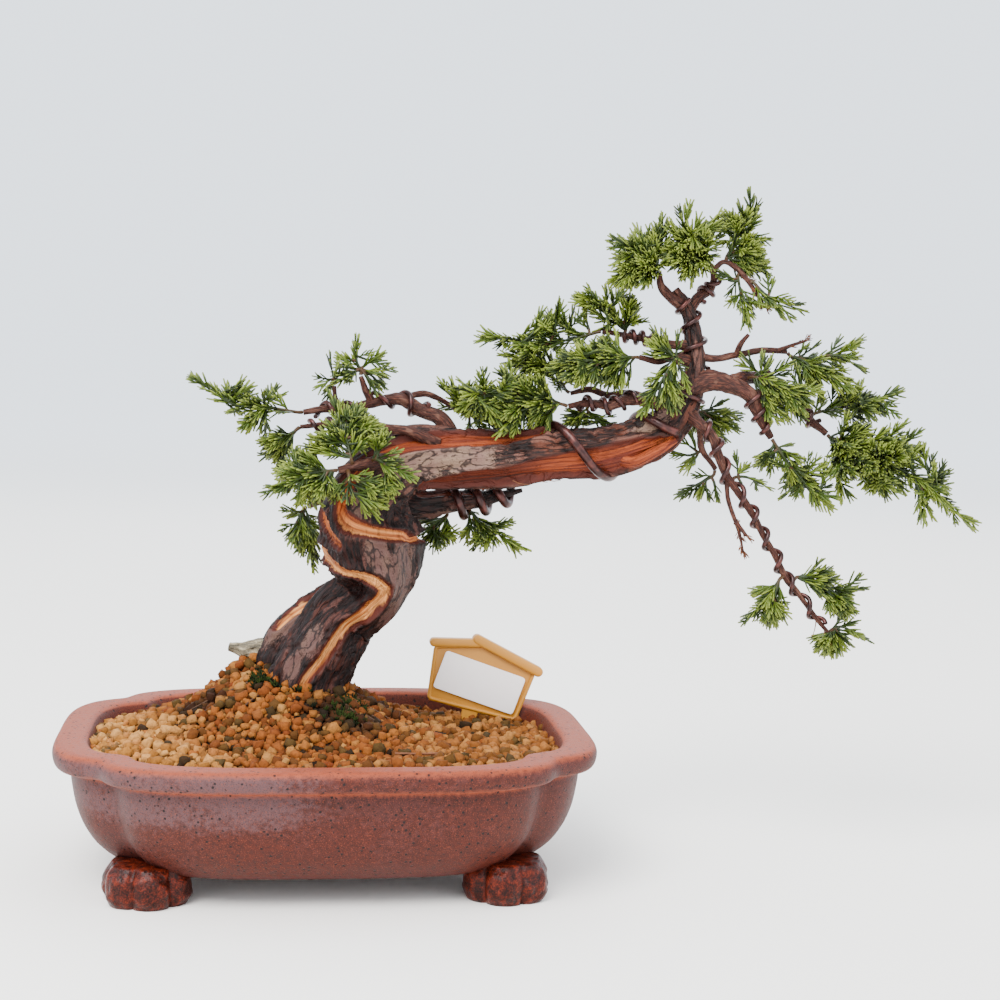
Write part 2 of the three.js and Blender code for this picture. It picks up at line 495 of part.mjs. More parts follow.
// The rod itself or, where something is in its way, the same rod swung aside by the least angle.
function swungClear(rod, taken) {
  const reach = rod.b.clone().sub(rod.a);
  const across = new THREE.Vector3(reach.z, reach.x, reach.y).cross(reach).normalize();
  for (const swing of [0, 15, 30, 45, 60]) {
    for (let turn = 0; turn < 360; turn += 45) {
      const hinge = across.clone().applyAxisAngle(reach.clone().normalize(), turn * DEGREE);
      const end = rod.a.clone().add(reach.clone().applyAxisAngle(hinge, swing * DEGREE));
      const swung = { ...rod, b: end };
      if (isClear(swung, taken)) return swung;
      if (swing === 0) break;
    }
  }
  return null;
}

function shootThrough(points, radii) {
  return new Limb(points.map(({ x, y, z }, i) => [x, y, z, radii[i]]), { sides: 3 });
}

// Twiglets stand in three rows along a shoot, one row on each of its sides.
function twigletsAlong(shoot, taken, random) {
  const count = Math.max(1, Math.round(shoot.path.getLength() / TWIGLET_SPACING));
  const firstRow = Math.floor(3 * random());
  const twiglets = [];
  for (let i = 0; i < count; i += 1) {
    const place = (shoot.spans * (i + 0.8)) / (count + 0.1);
    const angle = (60 + 120 * (firstRow + i) + 8 * (random() - 0.5)) * DEGREE;
    const { centre, tangent } = shoot.at(place);
    const out = shoot.outward(place, angle);
    const lean = TWIGLET_LEAN + 0.2 * (random() - 0.5);
    const way = tangent.clone().multiplyScalar(Math.cos(lean)).addScaledVector(out, Math.sin(lean));
    const tip = centre.clone().addScaledVector(way, TWIGLET_LENGTH * (0.8 + 0.35 * random()));
    const clear = swungClear({ a: centre, b: tip, ra: TWIGLET_ROOT, rb: TWIGLET_RADIUS }, taken);
    if (clear) twiglets.push(shootThrough([clear.a, clear.b], [TWIGLET_ROOT, TWIGLET_RADIUS]));
  }
  return twiglets;
}

// The stem's first 3 mm lie close to the wood that carries it, so only the rest is kept clear.
function sprayStem(stem, limbs, taken) {
  const points = stem.map(vector);
  points[0] = seatOnWood(points[0], points[1], limbs);
  for (let i = 1; i < points.length; i += 1) {
    const [start, end] = [points[i - 1], points[i]];
    const from = i === 1 ? start.clone().lerp(end, 3 / start.distanceTo(end)) : start;
    const clear = swungClear({ a: from, b: end, ra: CORE_RADIUS, rb: CORE_RADIUS }, taken);
    if (clear) points[i] = clear.b;
  }
  return shootThrough(points, points.map((point, i) => CORE_RADIUS * (1 - (0.35 * i) / points.length)));
}

function sprayParts(stem, sides, taken, random) {
  const shoots = [stem];
  for (const [from, ...tip] of sides) {
    const start = stem.at(from === 0 ? 0.3 : from + 0.1).centre;
    const rod = { a: start, b: vector(tip), ra: CORE_RADIUS, rb: CORE_RADIUS };
    const clear = swungClear(rod, taken);
    if (clear) shoots.push(shootThrough([clear.a, clear.b], [0.45 * CORE_RADIUS, CORE_RADIUS]));
  }
  return [...shoots, ...shoots.flatMap((shoot) => twigletsAlong(shoot, taken, random))];
}

// Pot, soil and drainage

const stepsPerQuarter = QUARTER_ANGLES.length - 1;

function planAngle(step) {
  const quarter = Math.floor(step / stepsPerQuarter);
  const part = step - quarter * stepsPerQuarter;
  const mirrored = Math.abs(quarter % 2) === 1;
  const within = mirrored ? 90 - QUARTER_ANGLES[stepsPerQuarter - part] : QUARTER_ANGLES[part];
  return (quarter * 90 + within) * DEGREE;
}

function lobe(angle, halfLength, halfWidth) {
  const x = Math.abs(Math.cos(angle) / halfLength) ** LOBE_SQUARENESS;
  const y = Math.abs(Math.sin(angle) / halfWidth) ** LOBE_SQUARENESS;
  return (x + y) ** (-1 / LOBE_SQUARENESS);
}

// The four-lobed plan's radius at an angle, with its outline moved in by an inset.
function planRadius(angle, inset) {
  const long = lobe(angle, POT_LENGTH / 2 - inset, LONG_LOBE_WIDTH / 2 - inset);
  const short = lobe(angle, SHORT_LOBE_LENGTH / 2 - inset, POT_WIDTH / 2 - inset);
  return (long ** NOTCH_SOFTNESS + short ** NOTCH_SOFTNESS) ** (1 / NOTCH_SOFTNESS);
}

// A closed lathe turned from height and inset pairs, then pushed out to the four-lobed plan. Rings
// further in than the pot's floor keep the floor's outline, made smaller.
function fourLobed(profile, shape = (point) => point) {
  const centre = POT_LENGTH / 2;
  const outline = profile.map(([height, inset]) => new THREE.Vector2(Math.max(0, centre - inset), height));
  outline.unshift(new THREE.Vector2(0, profile[0][0]));
  outline.push(new THREE.Vector2(0, profile.at(-1)[0]));
  const geometry = new THREE.LatheGeometry(outline, 4 * stepsPerQuarter);
  const position = geometry.attributes.position;
  for (let i = 0; i < position.count; i += 1) {
    const ring = Math.hypot(position.getX(i), position.getZ(i));
    const even = Math.atan2(position.getZ(i), position.getX(i)) / DEGREE;
    const angle = planAngle(Math.round((even * stepsPerQuarter) / 90));
    const inset = Math.min(centre - ring, POT_INSIDE[2][1]);
    const radius = planRadius(angle, inset) * (ring / (centre - inset));
    const [x, y, z] = shape([radius * Math.cos(angle), radius * Math.sin(angle), position.getY(i)]);
    position.setXYZ(i, x, y, z);
  }
  return toSolid(geometry);
}

function upright(radius, height, x, sides) {
  const geometry = new THREE.CylinderGeometry(radius, radius, height, sides, 1);
  geometry.rotateX(Math.PI / 2);
  geometry.translate(x, 0, height / 2);
  return toSolid(geometry);
}

function block(width, depth, height, x, y, z) {
  const geometry = new THREE.BoxGeometry(width, depth, height);
  geometry.translate(x, y, z);
  return toSolid(geometry);
}

function footSolid(alongX, alongY) {
  const outline = polygon(24, 1).map((point) => {
    const scallop = Math.abs(Math.sin(3 * point.angle()));
    point.rotateAround(new THREE.Vector2(), 10 * DEGREE);
    return point.multiplyScalar(FOOT_RADIUS + FOOT_SCALLOP * scallop);
  });
  const settings = { depth: FOOT_HEIGHT, steps: 2, bevelEnabled: false };
  const geometry = new THREE.ExtrudeGeometry(new THREE.Shape(outline), settings);
  const position = geometry.attributes.position;
  for (let i = 0; i < position.count; i += 1) {
    const height = position.getZ(i);
    const swell = 1 - 0.22 * (height / FOOT_HEIGHT) ** 3 - 0.05 * (1 - height / FOOT_HEIGHT) ** 3;
    const x = alongX * (FOOT_CENTRE[0] + swell * position.getX(i));
    const y = alongY * (FOOT_CENTRE[1] + swell * position.getY(i));
    position.setXYZ(i, x, y, height);
  }
  return toSolid(geometry);
}

function potSolid() {
  const corners = [[1, 1], [-1, 1], [-1, -1], [1, -1]];
  const bowl = fourLobed([...POT_OUTSIDE, ...POT_INSIDE]);
  const pot = joined([bowl, ...corners.map(([alongX, alongY]) => footSolid(alongX, alongY))]);
  const holes = [-1, 1].map((side) => upright(DRAIN_RADIUS, POT_HEIGHT, (side * DRAIN_SPACING) / 2, 10));
  return pot.subtract(holes[0]).subtract(holes[1]);
}

function soilHeight(x, y) {
  const mound = 28 * Math.exp(-(((x + 12) / (x < -12 ? 58 : 42)) ** 2) - ((y - 14) / 46) ** 2);
  const shoulder = 12 * Math.exp(-(((x + 32) / 20) ** 2) - ((y - 30) / 20) ** 2);
  return SOIL_LEVEL - SOIL_FALL * y + mound + shoulder;
}

// How far out the soil reaches at an angle and a height, just inside the pot's wall.
function soilReach(angle, height) {
  const [, [top, topInset], [bottom, bottomInset]] = POT_INSIDE;
  const share = (height - bottom) / (top - bottom);
  const wall = THREE.MathUtils.lerp(planRadius(angle, bottomInset), planRadius(angle, topInset), share);
  return wall - THREE.MathUtils.lerp(8, 1.5, share) * GAP;
}

// A repeatable number between -1 and 1 for a place on the soil.
function grain(x, y) {
  const wave = Math.sin(12.9898 * x + 78.233 * y) * 437.585;
  return 2 * (wave - Math.floor(wave)) - 1;
}

// The soil is turned with a flat top above the rim, which is then lowered to the mound.
function soilSolid(holes) {
  const [bottom, inset] = [POT_INSIDE[2][0] + GAP, POT_INSIDE[1][1]];
  const [edgeMark, surfaceMark] = [POT_HEIGHT + 2, POT_HEIGHT + 1];
  const profile = [[bottom, POT_INSIDE[2][1]], [edgeMark, inset]];
  for (let ring = 1; ring <= SOIL_RINGS; ring += 1) {
    profile.push([surfaceMark, inset + (POT_LENGTH / 2 - inset - 4) * (ring / SOIL_RINGS)]);
  }
  const surface = ([x, y, mark]) => {
    const height = mark < surfaceMark ? mark : soilHeight(x, y) + GRAIN_RELIEF * grain(x, y);
    if (mark === surfaceMark || Math.hypot(x, y) < 1) return [x, y, height];
    const angle = Math.atan2(y, x);
    const radius = soilReach(angle, height);
    return [radius * Math.cos(angle), radius * Math.sin(angle), height];
  };
  return holes.reduce((soil, hole) => soil.subtract(hole), fourLobed(profile, surface));
}

// A square grid of crossing bars.
function screenSolid(x, floor) {
  const pitch = (SCREEN_SIZE - SCREEN_BAR) / SCREEN_CELLS;
  const height = floor + GAP + SCREEN_THICKNESS / 2;
  const bars = [];
  for (let i = 0; i <= SCREEN_CELLS; i += 1) {
    const offset = i * pitch - (SCREEN_SIZE - SCREEN_BAR) / 2;
    bars.push(block(SCREEN_BAR, SCREEN_SIZE, SCREEN_THICKNESS, x + offset, 0, height));
    bars.push(block(SCREEN_SIZE, SCREEN_BAR, SCREEN_THICKNESS, x, offset, height));
  }
  return joined(bars);
}

// Label

// A plate in the label's plane, its front face this far in front of the board's back.
function labelPlate(shape, front, thickness) {
  const settings = { depth: thickness, bevelEnabled: false, curveSegments: 4 };
  const geometry = new THREE.ExtrudeGeometry(shape, settings);
  geometry.rotateX(Math.PI / 2);
  geometry.translate(0, thickness - front, 0);
  geometry.rotateY(LABEL_TILT * DEGREE);
  geometry.translate(...LABEL_SEAT);
  return toSolid(geometry);
}

function outlineShape(corners) {
  return new THREE.Shape(corners.map(([x, y]) => new THREE.Vector2(x, y)));
}

// A bar with round ends, seen from the front.
function railShape([x1, y1], [x2, y2], radius) {
  const slope = Math.atan2(y2 - y1, x2 - x1);
  const shape = new THREE.Shape();
  shape.absarc(x1, y1, radius, slope + Math.PI / 2, slope + 1.5 * Math.PI, false);
  shape.absarc(x2, y2, radius, slope - Math.PI / 2, slope + Math.PI / 2, false);
  return shape;
}

function labelSolid() {
  const board = labelPlate(outlineShape(LABEL_BOARD), LABEL_THICKNESS, LABEL_THICKNESS);
  const panel = labelPlate(outlineShape(LABEL_PANEL), LABEL_THICKNESS + 1, LABEL_RECESS + 1);
  const front = (RAIL_DEPTH + LABEL_THICKNESS) / 2;
  const rails = LABEL_RAILS.map((rail) => labelPlate(railShape(...rail), front, RAIL_DEPTH));
  return joined([board.subtract(panel), ...rails]);
}

// The slot that the label's stake and lower edge stand in.
function labelSlot() {
  const slack = 2 * GAP;
  const corners = LABEL_BOARD.map(([x, y]) => [x * (1 + slack / 4), y - 2 * slack]);
  return labelPlate(outlineShape(corners), LABEL_THICKNESS + slack, LABEL_THICKNESS + 2 * slack);
}

function stickerSolid() {
  const [halfWidth, halfHeight] = STICKER_SIZE.map((side) => side / 2);
  const corner = 1.5;
  const tilt = -STICKER_TILT * DEGREE;
  const shape = new THREE.Shape();
  for (const [x, y, start] of [[1, 1, 0], [-1, 1, 90], [-1, -1, 180], [1, -1, 270]]) {
    const at = new THREE.Vector2(x * (halfWidth - corner), y * (halfHeight - corner));
    at.rotateAround(new THREE.Vector2(), tilt).add(new THREE.Vector2(...STICKER_CENTRE));
    const from = start * DEGREE + tilt;
    shape.absarc(at.x, at.y, corner, from, from + Math.PI / 2, false);
  }
  return labelPlate(shape, LABEL_THICKNESS + 0.3 + STICKER_THICKNESS, STICKER_THICKNESS);
}

// The whole tree

const tree = new THREE.Group();

const limbs = { trunk: new Limb(TRUNK, { sides: BARK_SIDES, ringsPerSpan: 1.5, bark: 0.09 }) };
for (const [name, points] of Object.entries(BRANCHES)) {
  limbs[name] = new Limb(points, { sides: sidesFor(points[0][3]) });
}
const allLimbs = Object.values(limbs);
const wood = allLimbs.flatMap((limb) => limb.rods());
tree.add(toMesh("trunk_and_branches", joined(allLimbs.map((limb) => limb.solid())), BARK));

const stems = {};
for (const [name, { stem }] of Object.entries(SPRAYS)) {
  stems[name] = sprayStem(stem, allLimbs, wood);
}
const stemRods = Object.values(stems).flatMap((stem) => stem.rods());

const wireRods = [];
for (const [name, wire] of Object.entries(COILS)) {
  const points = wire.runs.flatMap((run) => {
    const carrier = limbs[run[0]];
    const otherLimbs = allLimbs.filter((limb) => limb !== carrier);
    const others = [...otherLimbs.flatMap((limb) => limb.rods()), ...stemRods, ...wireRods];
    return coilPoints(carrier, run, wire, others);
  });
  wireRods.push(...rodsThrough(points, wire.radius));
  tree.add(toMesh(name, wireSolid(points, wire), COPPER_BROWN));
}

const random = seededRandom(2026);
const grown = [...wood, ...wireRods];
for (const [name, { sides }] of Object.entries(SPRAYS)) {
  const stem = stems[name];
  delete stems[name];
  const taken = [...grown, ...Object.values(stems).flatMap((other) => other.rods())];
  const parts = sprayParts(stem, sides, taken, random);
  grown.push(...parts.flatMap((part) => part.rods()));
  tree.add(toMesh(`spray_${name}`, joined(parts.map((part) => part.solid())), LEAF));
}

tree.add(toMesh("pot", potSolid(), CLAY));
const potFloor = POT_INSIDE.at(-1)[0];
const pockets = [];
for (const [side, x] of [["left", -DRAIN_SPACING / 2], ["right", DRAIN_SPACING / 2]]) {
  tree.add(toMesh(`drain_screen_${side}`, screenSolid(x, potFloor), BLACK_MESH));
  const pocket = SCREEN_SIZE + 2 * GAP;
  const height = SCREEN_THICKNESS + 2 * GAP;
  pockets.push(block(pocket, pocket, height, x, 0, potFloor + height / 2));
}
const buried = ["trunk", "second_root", "dead_stub"].map((name) => limbs[name].solid(GAP));
tree.add(toMesh("soil", soilSolid([...buried, ...pockets, labelSlot()]), AKADAMA));
tree.add(toMesh("label_board", labelSolid(), YELLOW_PLASTIC));
tree.add(toMesh("label_sticker", stickerSolid(), WHITE_PAPER));

const box = new THREE.Box3().setFromObject(tree);
const middle = box.getCenter(new THREE.Vector3());
tree.position.set(-middle.x, -middle.y, -box.min.z);

const bonsai = new THREE.Group();
bonsai.add(tree);

export default bonsai;
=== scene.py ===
"""The looks of a small wired juniper in a four-lobed clay pot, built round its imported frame.

Tables are in millimetres, measured from the middle of the pot's footprint with +Z up and +Y away
from the front. `to_frame` moves them to the frame, which is in metres.
"""

import itertools
import json
import math
import random

import bmesh
import bpy
import numpy as np
from mathutils import Matrix, Vector

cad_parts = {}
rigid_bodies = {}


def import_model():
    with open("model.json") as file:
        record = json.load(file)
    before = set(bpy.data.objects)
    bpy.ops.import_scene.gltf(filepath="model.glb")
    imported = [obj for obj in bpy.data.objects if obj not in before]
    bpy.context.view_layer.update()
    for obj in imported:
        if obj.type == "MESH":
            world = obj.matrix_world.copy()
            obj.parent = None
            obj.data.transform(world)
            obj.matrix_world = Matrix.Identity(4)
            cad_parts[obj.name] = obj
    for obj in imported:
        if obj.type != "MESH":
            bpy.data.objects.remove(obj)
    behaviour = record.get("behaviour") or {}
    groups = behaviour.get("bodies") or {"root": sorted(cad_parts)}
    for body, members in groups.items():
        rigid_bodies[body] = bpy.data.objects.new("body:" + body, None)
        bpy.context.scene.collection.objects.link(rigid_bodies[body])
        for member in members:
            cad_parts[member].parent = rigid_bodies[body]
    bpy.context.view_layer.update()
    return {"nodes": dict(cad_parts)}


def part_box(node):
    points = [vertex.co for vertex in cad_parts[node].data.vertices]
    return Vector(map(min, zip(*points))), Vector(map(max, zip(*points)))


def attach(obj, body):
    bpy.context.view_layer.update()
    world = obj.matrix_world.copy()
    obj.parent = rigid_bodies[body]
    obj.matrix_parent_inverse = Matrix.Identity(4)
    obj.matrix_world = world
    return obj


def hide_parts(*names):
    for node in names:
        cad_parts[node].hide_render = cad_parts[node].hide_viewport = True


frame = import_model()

MM = 0.001
FRONT = np.array([0.0, -1.0, 0.0])

# Sizes and places, repeated from the part

POT_LENGTH, POT_WIDTH = 240, 193
LONG_LOBE_WIDTH, SHORT_LOBE_LENGTH = 168, 218
LOBE_SQUARENESS, NOTCH_DEPTH, NOTCH_WIDTH = 4, 3.2, 4.6
INSIDE_TOP, INSIDE_FLOOR = (61, 15.5), (17.5, 28)
FOOT_CENTRE, FOOT_RADIUS, FOOT_SCALLOP, FOOT_HEIGHT = (77, 54.5), 16.5, 4, 17
DRAIN_SPACING, DRAIN_RADIUS = 80, 7
SOIL_LEVEL, SOIL_FALL = 57.7, 0.04

TRUNK_BARK = 0.09
# Control points are x, y, z and the radius there.
TRUNK = [[-12, 14, 61.5, 21.3], [-10, 13, 79.5, 18.5], [-2.5, 12, 96.5, 17.3], [7, 10, 113.5, 15.2],
         [18.5, 6, 124.5, 15.6], [20.5, 3, 137, 20.1], [17.5, 1, 149.5, 22.3], [16.5, 0, 161, 20],
         [18.5, 0, 169.5, 17.2], [24.5, 0, 178.5, 15], [35, 0, 185, 13.6], [54, 0, 186.5, 13.2],
         [77, -1, 187.5, 12.3], [100, -2, 190.5, 10.7], [123, -3, 192, 10.1], [141.5, -3, 196.5, 9],
         [153, -3, 203.5, 8.2], [160.5, -2, 213.5, 7.1], [166, 0, 225, 5.3], [166.5, 2, 239, 4.2],
         [165, 3, 251.5, 3.5], [161, 3, 260.5, 2.9], [156.5, 3, 266, 2.3]]
BRANCHES = {
    "second_root": [[11.5, 18, 123, 8.4], [-1, 20, 113.5, 10.7], [-12, 22, 103.5, 12.1],
        [-19.5, 24, 92, 11.7], [-23, 24, 68, 10.8]],
    "dead_stub": [[-14, 26, 88.5, 8.4], [-29.5, 30, 92, 6.1], [-45, 34, 94.5, 2.1]],
    "torn_wood": [[127.5, -4, 191.5, 5], [136.5, -9, 187.5, 3.6], [147, -12, 192.5, 3.2],
        [156, -13, 198, 1.4]],
    "right": [[161.5, -2, 219.5, 4.8], [172.5, -4, 225, 4.4], [183, -6, 223, 4], [191, -8, 219, 3.4],
        [194, -9, 212.5, 2.8], [197.5, -9, 205.5, 2.2], [201.5, -8, 199.5, 1.4]],
    "right_back": [[181, -5, 224, 3.7], [192.5, 2, 226.5, 3], [203.5, 7, 225, 2.8], [214, 9, 217.5, 2.3],
        [224.5, 9, 207.5, 2.1], [232.5, 8, 201, 1.6]],
    "right_upper": [[166.5, 2, 236, 2.2], [176.5, 1, 235, 1.8], [187, 2, 237, 1.6], [200, 4, 239.5, 1.4],
        [211, 5, 239, 1.1]],
    "right_upper_dead": [[206, 5, 239, 1.2], [212.5, 2, 242, 0.9], [219, 0, 244.5, 0.6]],
    "right_upper_twig": [[186.5, 2, 237, 1.4], [187.5, -1, 242, 1.4], [190.5, -3, 246.5, 0.9]],
    "drop": [[161, -4, 210.5, 3.3], [167.5, -10, 205.5, 2.6], [173, -13, 199.5, 2.2],
        [175.5, -13, 192.5, 2.1], [180.5, -11, 182, 1.9], [189, -10, 171, 1.8], [194.5, -9, 163, 1.7],
        [199.5, -9, 154, 1.5], [205.5, -9, 144.5, 1.5], [210.5, -9, 135, 1.5], [218.5, -8, 125.5, 1.3],
        [226.5, -7, 115.5, 1.1], [233, -6, 108.5, 0.9]],
    "drop_side": [[168, -8, 205, 1.8], [171, 0, 193.5, 1.4], [178.5, 3, 184, 1.2]],
    "drop_dead": [[180.5, -11, 182.5, 1.3], [181.5, -10, 172, 1], [185.5, -9, 161.5, 1], [188, -9, 155, 0.8],
        [190, -9, 146.5, 0.5]],
    "drop_dead_fork": [[186, -9, 160.5, 1.2], [190.5, -12, 154.5, 0.7]],
    "crown_low": [[156, -3, 211, 3.5], [145, -6, 215, 2.8], [133.5, -8, 215.5, 2.5], [125, -9, 212.5, 2.1],
        [116.5, -8, 214, 1.7], [107, -7, 212, 1.2]],
    "crown_low_back": [[143, -4, 215.5, 2.3], [137, 2, 218, 1.9], [127, 5, 217, 1.7], [119, 6, 219.5, 1.5],
        [110, 7, 217.5, 1]],
    "crown_middle": [[164.5, 1, 233.5, 2.5], [154.5, -6, 235.5, 2.1], [146.5, -9, 233.5, 1.6],
        [138.5, -10, 235, 1.1]],
    "crown_top": [[164.5, 2, 241, 2.3], [152.5, 3, 241.5, 1.8], [144, 5, 243.5, 1.6], [136, 6, 244.5, 1.5],
        [124, 6, 246.5, 1.2]],
    "apex_left": [[161, 3, 259, 2.8], [155, 1, 262.5, 2.3], [149.5, -1, 267.5, 1.8], [148, -1, 274, 1.4]],
    "apex_right": [[163, 3, 256, 2.5], [168.5, 6, 263, 2.3], [174.5, 7, 267.5, 1.9], [175, 5, 275, 1.6],
        [169.5, 3, 281, 1.4]],
    "apex_dead": [[174.5, 5, 275, 1.4], [179.5, 4, 279.5, 1.2], [185.5, 2, 276.5, 1.2], [190, 1, 271.5, 1.2],
        [198.5, -2, 259, 0.7]],
    "left": [[57, 2, 193, 4.2], [49.5, 5, 205, 3.3], [40.5, 6, 208.5, 3], [31, 5, 213.5, 2.7],
        [18.5, 3, 211.5, 2.3], [6, 1, 208.5, 1.9], [-3, 0, 208.5, 1.7], [-12.5, -1, 207, 1.3]],
    "left_front": [[48, -5, 193.5, 2.8], [35, -8, 199.5, 2.3], [23, -7, 201, 2.1], [14.5, -5, 203, 1.8],
        [4, -5, 202.5, 1.5], [-6, -4, 201.5, 1.2], [-14, -4, 200.5, 1]],
    "left_twig": [[18.5, 3, 212, 1.8], [15.5, 2, 217.5, 1.6], [13, 1, 223.5, 0.9]],
    "left_bud": [[6, 1, 208.5, 1.6], [2, -1, 213, 1.1], [1, -2, 219, 0.9]],
    "left_back": [[31, 5, 213, 1.6], [43, 11, 216, 1.4], [52, 14, 212.5, 1.2], [59, 15, 208.5, 0.9]],
    "under_beam": [[28.5, 8, 167, 6.9], [42, 12, 164.5, 6], [58.5, 14, 166, 5.1], [74.5, 14, 168, 3.6],
        [89.5, 13, 172, 1]],
    "front": [[30, -8, 185.5, 4.5], [21, -19, 186.5, 3.1], [12, -26, 185, 2.4], [2.5, -28, 183, 1.5]],
    "back": [[22, 10, 173.5, 4.1], [11, 20, 169.5, 2.8], [0, 25, 166, 2.1], [-9.5, 26, 162, 1.2]],
}
THICK_WIRE, THIN_WIRE = 2.1, 1.1
# The limb, the control points from and to, the turns and the starting angle of each run.
COILS = {
    "beam": (THICK_WIRE, [["under_beam", 1.85, 3.75, 3, 240], ["trunk", 12.3, 16, 1.6, 170]]),
    "leader": (THIN_WIRE, [["trunk", 18.4, 21.05, 2.85, 90]]),
    "leader_pair": (THIN_WIRE, [["trunk", 16.75, 17.75, 1.3, 120]]),
    "drop": (THIN_WIRE, [["drop", 1.1, 11.45, 9.3, 200]]),
    "right": (THIN_WIRE, [["right", 2.95, 5.65, 3, 170]]),
    "right_back": (THIN_WIRE, [["right_back", 1.75, 4.4, 4, 270]]),
    "crown_low": (THIN_WIRE, [["crown_low", 1.65, 4.6, 3.95, 350]]),
    "crown_top": (THIN_WIRE, [["crown_top", 1, 3.25, 4, 20]]),
    "left": (THIN_WIRE, [["left", 1.65, 6.5, 4.65, 50]]),
    "left_front": (THIN_WIRE, [["left_front", 2.4, 5.45, 3.4, 330]]),
    "apex": (THIN_WIRE, [["apex_right", 1.05, 2.6, 2.2, 65]]),
}
